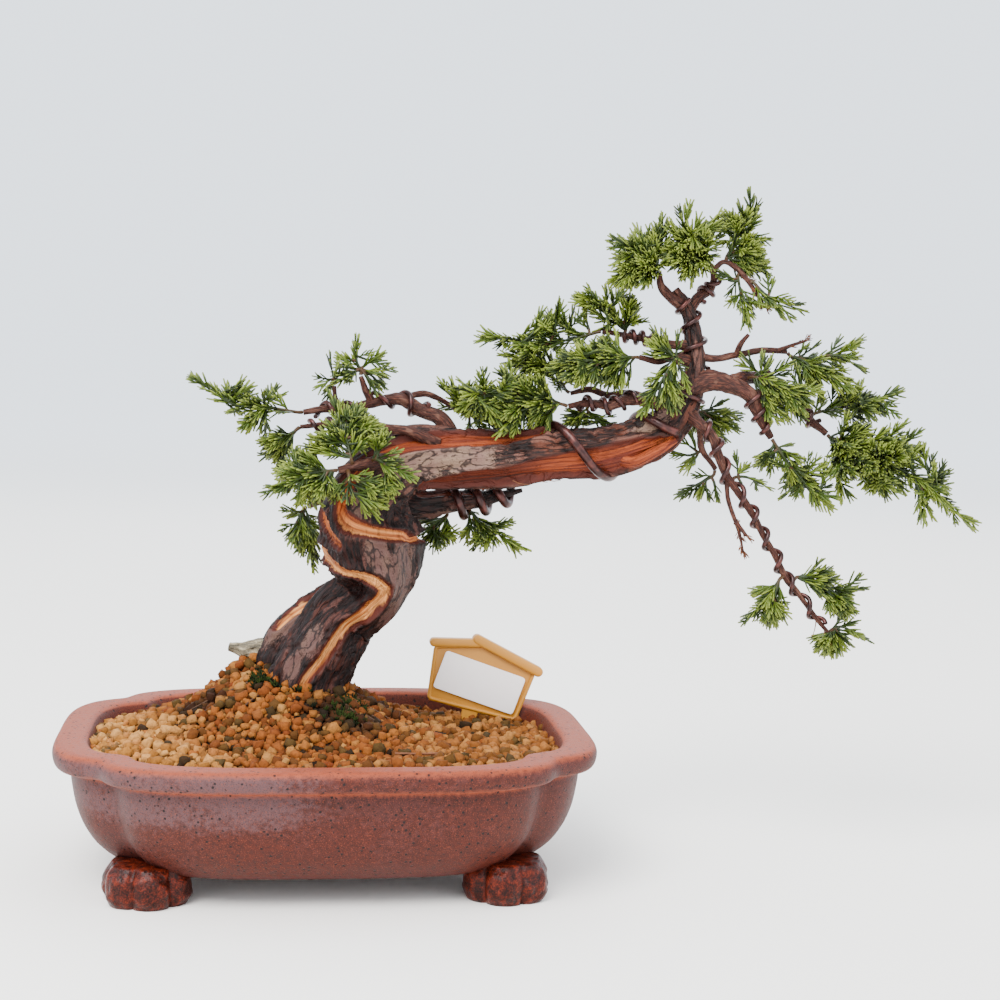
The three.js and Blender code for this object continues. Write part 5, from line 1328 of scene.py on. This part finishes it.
def fronds_along(path, draws, spacing=FROND_SPACING):
    """Points and directions of the twiglets that stand along a shoot, leaning towards its tip."""
    lengths = lengths_along(path)
    total = lengths[-1]
    found, turn = [], draws.uniform(0, math.tau)
    place = min(3.0, 0.25 * total)
    while place < total - 0.5:
        ahead = point_at(path, lengths, min(place + 1, total)) - point_at(path, lengths, place - 1)
        tangent = ahead / np.linalg.norm(ahead)
        side = np.cross(tangent, (0.2, 0.3, 1))
        side /= np.linalg.norm(side)
        other = np.cross(tangent, side)
        lean = math.radians(draws.uniform(18, 50) - 14 * place / total)
        out = side * math.cos(turn) + other * math.sin(turn)
        found.append((point_at(path, lengths, place), tangent * math.cos(lean) + out * math.sin(lean)))
        turn += math.radians(GOLDEN_ANGLE) + draws.uniform(-0.3, 0.3)
        place += spacing * draws.uniform(0.8, 1.25)
    tangent = path[-1] - path[-2]
    found.append((path[-1] - tangent / np.linalg.norm(tangent) * 1.5, tangent))
    return found


def shoot_paths(shoots):
    """The shoots as rods that thin towards their tips, with how woody each point is."""
    paths = []
    for path, radius in shoots:
        oldest = 0.5 if radius == FILLER_RADIUS else 1
        ages = np.linspace(oldest, 0, len(path)) ** 2
        paths.append((path, np.linspace(radius, TIP_RADIUS, len(path)), ages))
    return paths


def foliage(laid):
    """Every spray: rods for its shoots, and the twiglets on them that stand clear of wood and wires."""
    draws = random.Random(71)
    fronds = shape_collection("fronds", [frond_mesh(k, draws) for k in range(FROND_SHAPES)])
    centres, radii = limb_samples()
    centres = np.vstack([centres, *[path for path, _ in laid]])
    radii = np.concatenate([radii, *[wire_radii for _, wire_radii in laid]])
    for name in SPRAYS:
        shoots = spray_shoots(name, draws)
        source = paths_object("shoots", shoot_paths(shoots))
        rods = grown("rods", source, ROD_TREE, Sides=6, Material=LEAF)
        spacing = THIN_SPACING if name in THIN_SPRAYS else FROND_SPACING
        stands = [stand for path, _ in shoots for stand in fronds_along(path, draws, spacing)]
        middles = np.array([point + way / np.linalg.norm(way) * 5 for point, way in stands])
        clear = clearance(middles, centres, radii) > FROND_CLEARANCE
        points, ways = zip(*[stand for stand, free in zip(stands, clear) if free])
        sizes = [draws.uniform(0.72, 1.12) for _ in points]
        tones = [draws.random() for _ in points]
        leaves = planted("leaves", points, ways, sizes, tones, fronds, LEAF, draws)
        finish_piece(join(f"foliage_{name}", [leaves, rods]), replaced=[f"spray_{name}"])
    dead_twiglets(fronds, draws)


# The dead limbs that keep dry leaves, and where along them the leaves begin.
DRY_LIMBS = {"right_upper_dead": 0.4, "drop_dead": 1.6, "drop_dead_fork": 0.2, "apex_dead": 2.4}


def dead_twiglets(fronds, draws):
    """Dry twiglets on the ends of the dead limbs."""
    points, ways = [], []
    for name, start in DRY_LIMBS.items():
        path = limbs[name].centre(np.linspace(start, limbs[name].spans, 12))
        found = fronds_along(path, draws)
        points.extend(point for point, _ in found)
        ways.extend(way for _, way in found)
    sizes = [draws.uniform(0.35, 0.6) for _ in points]
    tones = [draws.random() for _ in points]
    finish_piece(planted("dead_twiglets", points, ways, sizes, tones, fronds, DRY, draws))


# Pot

def plan_radius(angle, inset):
    """The four-lobed plan's radius, with its outline moved in by an inset."""
    def lobe(half_length, half_width):
        x = np.abs(np.cos(angle) / (half_length - inset)) ** LOBE_SQUARENESS
        y = np.abs(np.sin(angle) / (half_width - inset)) ** LOBE_SQUARENESS
        return (x + y) ** (-1 / LOBE_SQUARENESS)
    long = lobe(POT_LENGTH / 2, LONG_LOBE_WIDTH / 2)
    short = lobe(SHORT_LOBE_LENGTH / 2, POT_WIDTH / 2)
    notch = NOTCH_DEPTH * np.exp(-((long - short) / NOTCH_WIDTH) ** 2)
    return np.maximum(long, short) - notch


# Height, inset and how red the clay is there, up the outside and down the inside. The wall inside is 2,
# which is darker.
POT_PROFILE = [
    (11, 34, 0.3), (11.8, 29, 0.3), (13.5, 25.5, 0.2), (16.5, 21.5, 0.1), (21, 17.2, 0), (26, 14, 0),
    (31, 11.6, 0), (38, 9.4, 0), (46, 8, 0), (50, 7.6, 0.1), (52.6, 7.6, 0.5), (53.6, 7.2, 0.8),
    (54.2, 5.4, 0.8), (54.8, 2.6, 0.7), (55.6, 1.1, 0.5), (57.5, 0.3, 0.2), (60, 0, 0.2), (62, 0.5, 0.5),
    (63.3, 1.7, 0.8), (63.9, 3.6, 0.9), (64, 6, 0.8), (64, 9.5, 0.8), (63.8, 12.2, 0.9), (63, 14, 1.1),
    (61.4, 15.2, 1.8), (58, 16.4, 2), (50, 18.6, 2), (35, 22.8, 2), (19, 27.6, 2), (17.5, 32, 2),
]
POT_SIDES, POT_WOBBLE = 320, 0.35
# The most that an angle round the pot moves, in radians, to crowd the angles at the corners' notches.
NOTCH_CROWDING = 0.126
FOOT_SIDES, FOOT_ROWS, FOOT_TURN = 96, 18, 10


def plan_angles(count):
    """Angles round the pot, closer together at the four corners' notches."""
    even = even_angles(count)
    return even - NOTCH_CROWDING * np.sin(4 * even)


def pot_body():
    """The pot's wall and floor, turned from the profile round the four-lobed plan."""
    angles = plan_angles(POT_SIDES)
    points, edge = [], []
    rows = np.array(POT_PROFILE)
    shares = np.linspace(0, 1, 3 * (len(rows) - 1) + 1)
    profile = np.stack([along_values(rows[:, k], shares) for k in range(3)], axis=1)
    for height, inset, red in profile:
        radius = plan_radius(angles, inset)
        x, y = radius * np.cos(angles), radius * np.sin(angles)
        ring = np.column_stack([x, y, np.full(POT_SIDES, height)])
        wobble = layered_noise(ring, 40, 3, 2) * POT_WOBBLE
        ring[:, :2] *= (1 + wobble / radius)[:, None]
        points.append(ring)
        edge.append(np.full(POT_SIDES, red))
    floor_low, floor_high = [0, 0, POT_PROFILE[0][0]], [0, 0, POT_PROFILE[-1][0]]
    points = np.vstack([*points, [floor_low], [floor_high]])
    edge = np.concatenate([*edge, [POT_PROFILE[0][2], POT_PROFILE[-1][2]]])
    faces = ring_faces(len(profile), POT_SIDES)
    return link("pot_body", make_mesh("pot_body", to_frame(points), faces, {"edge": edge}))


def foot(along_x, along_y):
    """One carved foot: a scalloped cloud with rounded lobes, sunk into the pot's underside."""
    angle = even_angles(FOOT_SIDES)
    points = []
    turned = angle + math.radians(FOOT_TURN) * along_x * along_y
    lobes = np.abs(np.sin(3 * angle))
    for row in range(FOOT_ROWS + 1):
        share = row / FOOT_ROWS
        height = FOOT_HEIGHT * share
        belly = 1 - 0.2 * share**3 - 0.1 * (1 - share) ** 4
        creases = FOOT_SCALLOP * (lobes ** 0.6) * (0.75 + 0.25 * math.sin(math.pi * share))
        radius = (FOOT_RADIUS + creases) * belly
        x, y = radius * np.cos(turned), radius * np.sin(turned)
        points.append(np.column_stack([x, y, np.full(FOOT_SIDES, height)]))
    points = np.vstack(points)
    carving = layered_noise(points, 4, 9, 2) * 1.2 * smooth_step(0, 2, points[:, 2])
    distance = np.hypot(points[:, 0], points[:, 1])
    points[:, :2] *= (1 + carving / distance)[:, None]
    points = np.vstack([points, [[0, 0, 0], [0, 0, FOOT_HEIGHT]]])
    points[:, 0] += along_x * FOOT_CENTRE[0]
    points[:, 1] += along_y * FOOT_CENTRE[1]
    return link("foot", make_mesh("foot", to_frame(points), ring_faces(FOOT_ROWS + 1, FOOT_SIDES)))


def pot():
    """The drilled body and its four feet as one piece with two clays."""
    body = drill_drains(pot_body())
    body.data.materials.append(CLAY)
    feet = join("feet", [foot(x, y) for x, y in ((1, 1), (-1, 1), (-1, -1), (1, -1))])
    feet.data.materials.append(FOOT_CLAY)
    finish_piece(join("clay_pot", [body, feet]), replaced=["pot"])


DRILL_HEIGHT, DRILL_LENGTH = 15, 30


def drill_drains(body):
    """The pot with its two drain holes cut."""
    cutters = []
    for side in (-1, 1):
        middle = to_frame([side * DRAIN_SPACING / 2, 0, DRILL_HEIGHT])
        bpy.ops.mesh.primitive_cylinder_add(
            vertices=32, radius=DRAIN_RADIUS * MM, depth=DRILL_LENGTH * MM, location=middle)
        cutters.append(bpy.context.object)
    cutter = join("drill", cutters)
    cut = body.modifiers.new("drain_holes", "BOOLEAN")
    cut.operation, cut.object, cut.solver = "DIFFERENCE", cutter, "EXACT"
    graph = bpy.context.evaluated_depsgraph_get()
    mesh = bpy.data.meshes.new_from_object(body.evaluated_get(graph), depsgraph=graph)
    mesh.materials.clear()
    for used in (body, cutter):
        bpy.data.objects.remove(used)
    return link("pot_body", mesh)


# Soil

SOIL_SIDES, SOIL_RINGS = 120, 44
# How far the bed's top lies below the soil's height, its gaps to the wall and to the floor, and how
# much of the pot's inside its foot takes up.
BED_DEPTH, BED_GAP, BED_LIFT, BED_SHRINK = 1.2, 0.8, 0.4, 0.98
# Where the granules are dark and damp: the middle of each patch, its half length and half width.
DAMP_PATCHES = [(8, -18, 20, 14), (22, 8, 14, 12), (-58, 4, 14, 8)]
STONE_SHAPES = 20
# Name, spacing, smallest and largest stone, how far each stands off the bed, and the seed.
GRAVEL_LAYERS = [
    ("large_granules", 4.2, 3, 5.7, 1.3, 3),
    ("small_granules", 2.75, 1.7, 3.7, 0.5, 8),
]


def soil_height(x, y):
    """The top of the soil: nearly level, with a mound at the trunk and a shoulder behind it at the left."""
    reach = np.where(x < -12, 58, 42)
    mound = 28 * np.exp(-(((x + 12) / reach) ** 2) - ((y - 14) / 46) ** 2)
    shoulder = 12 * np.exp(-(((x + 32) / 20) ** 2) - ((y - 30) / 20) ** 2)
    return SOIL_LEVEL - SOIL_FALL * y + mound + shoulder


def soil_reach(angle, height):
    """How far out the soil reaches at an angle, just inside the pot's wall."""
    (top, top_inset), (bottom, bottom_inset) = INSIDE_TOP, INSIDE_FLOOR
    share = (height - bottom) / (top - bottom)
    low, high = plan_radius(angle, bottom_inset), plan_radius(angle, top_inset)
    return low + (high - low) * share - BED_GAP


def open_ground(points):
    """1 where granules lie, and 0 on the bed's underside and where wood comes out of it."""
    ground = (points[:, 2] > 50).astype(float)
    for name in ("trunk", "second_root", "dead_stub"):
        limb = limbs[name]
        near = limb.grid[limb.grid < 2]
        ground *= smooth_step(-3, -1, clearance(points, limb.centre(near), limb.radius(near)))
    return ground


def pale_ground(points):
    """How pale the granules are: cream at the far left, and a little paler towards the right."""
    x, y, _ = points.T
    pale = smooth_step(-62, -84, x + 0.35 * y + 8 * noise(points, 14, 8))
    return np.maximum(pale, 0.28 * smooth_step(20, 70, x + 10 * noise(points, 18, 12)))


def damp_ground(points):
    x, y, _ = points.T
    damp = np.zeros(len(points))
    for at_x, at_y, half_length, half_width in DAMP_PATCHES:
        spread = ((x - at_x) / half_length) ** 2 + ((y - at_y) / half_width) ** 2
        damp = np.maximum(damp, smooth_step(1.2, 0.2, spread + 0.7 * noise(points, 7, 6)))
    return damp


def soil_bed():
    """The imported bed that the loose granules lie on."""
    angle = even_angles(SOIL_SIDES)
    floor = INSIDE_FLOOR[0] + BED_LIFT
    reach = BED_SHRINK * soil_reach(angle, floor)
    rows = [np.column_stack([reach * np.cos(angle), reach * np.sin(angle), np.full(SOIL_SIDES, floor)])]
    edge = soil_reach(angle, 57)
    for ring in range(SOIL_RINGS):
        radius = edge * (1 - ring / SOIL_RINGS)
        x, y = radius * np.cos(angle), radius * np.sin(angle)
        rows.append(np.column_stack([x, y, soil_height(x, y) - BED_DEPTH]))
    top = rows[-1].mean(0)
    points = np.vstack([*rows, [[0, 0, floor]], [top]])
    points[SOIL_SIDES:-2, 2] += 0.7 * noise(points[SOIL_SIDES:-2], 5, 4)
    faces = ring_faces(SOIL_RINGS + 1, SOIL_SIDES)
    # A tone of 0 gives the bed the granules' darkest colour, as painted shade in the gaps between them.
    return link("soil_bed", make_mesh("soil_bed", to_frame(points), faces, {
        "open": open_ground(points), "pale": pale_ground(points), "damp": damp_ground(points),
        "tone": np.zeros(len(points))}))


def stone_mesh(index, draws):
    """A lumpy worn stone about 1 unit across, with two dozen faces."""
    shape = bmesh.new()
    bmesh.ops.create_cube(shape, size=1)
    bmesh.ops.subdivide_edges(shape, edges=shape.edges, cuts=1, use_grid_fill=True)
    stretch = Vector((draws.uniform(0.85, 1.2), draws.uniform(0.75, 1.05), draws.uniform(0.65, 0.95)))
    for vertex in shape.verts:
        ball = vertex.co.normalized() * 0.5
        vertex.co = vertex.co.lerp(ball, 0.4) * draws.uniform(0.78, 1.18) * stretch
    mesh = bpy.data.meshes.new(f"stone_{index}")
    shape.to_mesh(mesh)
    shape.free()
    return mesh


def soil():
    """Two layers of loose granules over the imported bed."""
    draws = random.Random(19)
    stones = shape_collection("stones", [stone_mesh(k, draws) for k in range(STONE_SHAPES)])
    bed = soil_bed()
    for name, spacing, smallest, largest, sink, seed in GRAVEL_LAYERS:
        source = link(name, bed.data.copy())
        layer = grown(name, source, GRAVEL_TREE, Spacing=spacing * MM, Smallest=smallest * MM,
                      Largest=largest * MM, Sink=sink * MM, Seed=seed, Shapes=stones, Material=AKADAMA)
        finish_piece(layer)
    finish_piece(bed, AKADAMA, ["soil"])


# Moss, roots and litter

# Each moss patch's middle, its half length and half width, and how many tufts it has.
MOSS_PATCHES = [(-30, 4, 6, 3.5, 90), (-19, -1, 7, 3.5, 110), (-9, -6, 5, 3, 60), (12, -7, 8, 5, 60),
                (8, -20, 10, 7, 50)]
# Fine roots on the soil: where each starts and ends, and how far it wanders.
SURFACE_ROOTS = [((6, -9), (20, -24), 3), ((4, -12), (10, -32), 2.5), ((12, -8), (28, -14), 2.5),
                 ((10, -4), (24, -10), 3), ((12, -2), (30, -6), 3), ((8, -10), (16, -26), 3),
                 ((10, -8), (26, -20), 2.5), ((-34, -2), (-58, -8), 3), ((-36, 4), (-66, 0), 3),
                 ((-30, -6), (-46, -24), 2.5)]
STRAW = ((27.7, -55), (47.5, -51.5))
# Torn splinters under the level trunk and twigs that hang at the drop's end: start, end and radius.
SPLINTERS = [((79, -6, 180), (90, -9, 176.5), 0.6), ((84, -5, 180), (98, -9, 177.5), 0.5),
             ((90, -5, 181.5), (104, -9, 178.5), 0.45), ((72, -5, 178), (82, -8, 175), 0.4)]
HANGING_TWIGS = [((233, -6, 108.5), (236.1, -4, 99.6), 0.35), ((231, -6, 110), (229, -8, 101), 0.3),
                 ((226.5, -7, 115.5), (224, -9, 107), 0.3)]


def moss_tuft(index, draws):
    """Seven short shoots leaning out of one point, about 1 unit high."""
    vertices, faces = [], []
    for _ in range(7):
        lean = np.array([draws.uniform(-0.5, 0.5), draws.uniform(-0.5, 0.5), draws.uniform(0.6, 1)])
        add_rod(vertices, faces, [np.zeros(3), lean * 0.6, lean], (0.12, 0.13, 0.05))
    return make_mesh(f"moss_{index}", np.array(vertices) * MM, faces)


def moss():
    """Tufts on the soil round the trunk's foot."""
    draws = random.Random(5)
    tufts = shape_collection("tufts", [moss_tuft(k, draws) for k in range(5)])
    centres, radii = limb_samples()
    points = []
    for middle_x, middle_y, half_length, half_width, count in MOSS_PATCHES:
        for _ in range(count):
            x = middle_x + draws.gauss(0, 0.5) * half_length
            y = middle_y + draws.gauss(0, 0.5) * half_width
            points.append([x, y, float(soil_height(x, y)) + 0.4])
    points = np.array(points)
    points = points[clearance(points, centres, radii) > 0.2]
    ways = [(draws.uniform(-0.4, 0.4), draws.uniform(-0.4, 0.4), 1) for _ in points]
    sizes = [draws.uniform(1.8, 3.4) for _ in points]
    tones = [draws.random() for _ in points]
    finish_piece(planted("moss", points, ways, sizes, tones, tufts, MOSS, draws))


def ground_path(start, end, wander, draws, lift=0.9):
    """A wavy line that lies on the granules."""
    shares = np.linspace(0, 1, 14)
    line = np.array(start) + (np.array(end) - np.array(start)) * shares[:, None]
    side = np.array([start[1] - end[1], end[0] - start[0]]) / math.dist(start, end)
    phase = draws.uniform(0, math.tau)
    wave = wander * (np.sin(7 * shares + phase) - math.sin(phase)) * shares * 0.5
    line = line + side * wave[:, None]
    return np.column_stack([line, soil_height(line[:, 0], line[:, 1]) + lift])


def litter():
    """Roots and straw on the soil, splinters under the trunk and hanging twigs."""
    draws = random.Random(23)
    roots = [ground_path(start, end, wander, draws) for start, end, wander in SURFACE_ROOTS]
    paths = [(path, np.linspace(0.6, 0.2, len(path))) for path in roots]
    source = paths_object("root_paths", paths)
    finish_piece(grown("surface_roots", source, ROD_TREE, Sides=6, Material=ROOT))
    straw = ground_path(*STRAW, 0.6, draws, 1.9)
    paths = [(straw, np.full(len(straw), 0.55))]
    for start, end, radius in SPLINTERS + HANGING_TWIGS:
        paths.append((bowed(start, end, draws, 0.1), np.linspace(radius, 0.12, 5)))
    source = paths_object("litter_paths", paths)
    finish_piece(grown("splinters_and_straw", source, ROD_TREE, Sides=6, Material=DRY))


# Label

def label_point(x, y, forward):
    """A point in the label's own plane, this far in front of the board's back."""
    tilt = math.radians(LABEL_TILT)
    turned_x = x * math.cos(tilt) + y * math.sin(tilt)
    turned_y = -x * math.sin(tilt) + y * math.cos(tilt)
    return LABEL_SEAT[0] + turned_x, LABEL_SEAT[1] - forward, LABEL_SEAT[2] + turned_y


def plate(name, outline, back, front, bevel):
    """A plate with softened edges, between two depths in front of the board's back."""
    shape = bmesh.new()
    low = [shape.verts.new(to_frame(label_point(x, y, back))) for x, y in outline]
    face = shape.faces.new(low)
    made = bmesh.ops.extrude_face_region(shape, geom=[face])
    raised = [item for item in made["geom"] if isinstance(item, bmesh.types.BMVert)]
    bmesh.ops.translate(shape, verts=raised, vec=(0, -(front - back) * MM, 0))
    bmesh.ops.recalc_face_normals(shape, faces=shape.faces)
    sharp = [edge for edge in shape.edges if edge.calc_face_angle(0) > 0.5]
    bmesh.ops.bevel(shape, geom=sharp, offset=bevel * MM, segments=3, profile=0.5, affect="EDGES")
    mesh = bpy.data.meshes.new(name)
    shape.to_mesh(mesh)
    shape.free()
    mesh.polygons.foreach_set("use_smooth", [True] * len(mesh.polygons))
    mesh.set_sharp_from_angle(angle=math.radians(40))
    return link(name, mesh)


def rail_outline(start, end, radius):
    """A bar with round ends, seen from the front."""
    slope = math.atan2(end[1] - start[1], end[0] - start[0])
    outline = []
    for (x, y), first in ((start, 90), (end, -90)):
        for step in range(13):
            angle = slope + math.radians(first + 15 * step)
            outline.append((x + radius * math.cos(angle), y + radius * math.sin(angle)))
    return outline


def rounded_loop(corners, radius=1.2, steps=4):
    """A closed outline with its corners rounded off."""
    loop = []
    for index, corner in enumerate(corners):
        here = np.array(corner, float)
        before = np.array(corners[index - 1], float) - here
        after = np.array(corners[(index + 1) % len(corners)], float) - here
        start = here + before / np.linalg.norm(before) * radius
        end = here + after / np.linalg.norm(after) * radius
        for step in range(steps + 1):
            share = step / steps
            loop.append((1 - share) ** 2 * start + 2 * share * (1 - share) * here + share**2 * end)
    return [tuple(point) for point in loop]


# The board's corners that the panel's corners lie next to.
PANEL_CORNERS = (0, 1, 5, 6, 7)


def label():
    """The board with its raised rim and roof rails, and the sticker on it."""
    board_front = LABEL_THICKNESS - LABEL_RECESS
    board = plate("board", LABEL_BOARD, 0, board_front, 0.3)
    corners = [LABEL_BOARD[k] for k in PANEL_CORNERS]
    border = [(0.53 * (a[0] + b[0]), 0.5 * (a[1] + b[1])) for a, b in zip(LABEL_PANEL, corners)]
    loop = rounded_loop(border, 1.5)
    loop.append(loop[0])
    rim_path = np.array([label_point(x, y, board_front - 0.1) for x, y in loop + loop[1:2]])
    source = paths_object("rim_path", [(rim_path, np.full(len(rim_path), 1.0))])
    rim = grown("rim", source, ROD_TREE, Sides=12, Material=PLASTIC)
    middle = LABEL_THICKNESS / 2
    rails = []
    for index, rail in enumerate(LABEL_RAILS):
        half_depth = RAIL_DEPTH / 2 + 0.4 * index
        low, high = middle - half_depth, middle + half_depth
        rails.append(plate(f"rail_{index}", rail_outline(*rail), low, high, 1.3))
    whole = join("plant_label", [board, rim, *rails])
    finish_piece(whole, PLASTIC, ["label_board"])
    sticker()


def sticker():
    """A blank paper rectangle with rounded corners, turned a little."""
    half_width, half_height = STICKER_SIZE[0] / 2, STICKER_SIZE[1] / 2
    corners = [(x * half_width, y * half_height) for x, y in ((1, 1), (-1, 1), (-1, -1), (1, -1))]
    tilt = -math.radians(STICKER_TILT)
    outline = []
    for x, y in rounded_loop(corners, 1.8, 5):
        outline.append((STICKER_CENTRE[0] + x * math.cos(tilt) - y * math.sin(tilt),
                        STICKER_CENTRE[1] + x * math.sin(tilt) + y * math.cos(tilt)))
    back = LABEL_THICKNESS + 0.3
    paper = plate("blank_sticker", outline, back, back + STICKER_THICKNESS, 0.12)
    finish_piece(paper, PAPER, ["label_sticker"])


# Stage

SKY_COLOUR, SKY_STRENGTH, FLOOR_RADIUS = (0.83, 0.91, 1.0, 1), 2.5, 60
# Name, place, size and power of each soft light, and the height that they all aim at, in metres.
LIGHTS = [("key", (-0.7, -1.0, 1.5), 1.0, 68), ("fill", (1.3, -0.8, 0.9), 1.5, 10),
          ("back", (0.2, 1.4, 1.2), 1.2, 10)]
LIGHT_TARGET = 0.15


def stage():
    """The floor, the sky and three soft lights."""
    bpy.ops.mesh.primitive_circle_add(vertices=96, radius=FLOOR_RADIUS, fill_type="NGON")
    floor = bpy.context.object
    floor.name = "floor"
    pale = Finish("pale_floor", Roughness=0.9, Specular_IOR_Level=0.1)
    reach = pale.node("ShaderNodeVectorMath", {0: pale.coordinates}, output=1, operation="LENGTH")
    near, far = pale.mix(pale.noise(0.8), "f8f2ea", "fbf6ef"), "ffffff"
    pale.paint(Base_Color=pale.mix(reach.rising(0.6, 4), near, far))
    floor.data.materials.append(pale.material)
    world = bpy.data.worlds.new("soft_daylight")
    world.use_nodes = True
    background = world.node_tree.nodes["Background"]
    background.inputs["Color"].default_value = SKY_COLOUR
    background.inputs["Strength"].default_value = SKY_STRENGTH
    bpy.context.scene.world = world
    for name, place, size, energy in LIGHTS:
        lamp = bpy.data.lights.new(name, "AREA")
        lamp.size, lamp.energy = size, energy
        holder = bpy.data.objects.new(name, lamp)
        holder.location = place
        aim = Vector((0, 0, LIGHT_TARGET)) - Vector(place)
        holder.rotation_euler = aim.to_track_quat("-Z", "Y").to_euler()
        bpy.context.scene.collection.objects.link(holder)


def camera():
    """The photo's camera."""
    heading, pitch, roll = (math.radians(angle) for angle in (CAMERA_HEADING, CAMERA_PITCH, CAMERA_ROLL))
    level_reach = math.cos(pitch)
    ahead = Vector((math.sin(heading) * level_reach, math.cos(heading) * level_reach, -math.sin(pitch)))
    level = Vector((math.cos(heading), -math.sin(heading), 0))
    upright = level.cross(ahead)
    right = level * math.cos(roll) + upright * math.sin(roll)
    up = upright * math.cos(roll) - level * math.sin(roll)
    lens = bpy.data.cameras.new("camera")
    lens.lens, lens.sensor_width, lens.clip_start = CAMERA_LENS, CAMERA_SENSOR, 0.05
    holder = bpy.data.objects.new("camera", lens)
    turn = Matrix((right, up, -ahead)).transposed().to_4x4()
    holder.matrix_world = Matrix.Translation(Vector(to_frame(CAMERA_PLACE))) @ turn
    bpy.context.scene.collection.objects.link(holder)
    bpy.context.scene.camera = holder


def drain_screens():
    """The two screens keep their CAD shape."""
    for side in ("left", "right"):
        paint_piece(frame["nodes"][f"drain_screen_{side}"], SCREEN)


camera()
stage()
tree_wood()
foliage(training_wires())
pot()
soil()
moss()
litter()
label()
drain_screens()
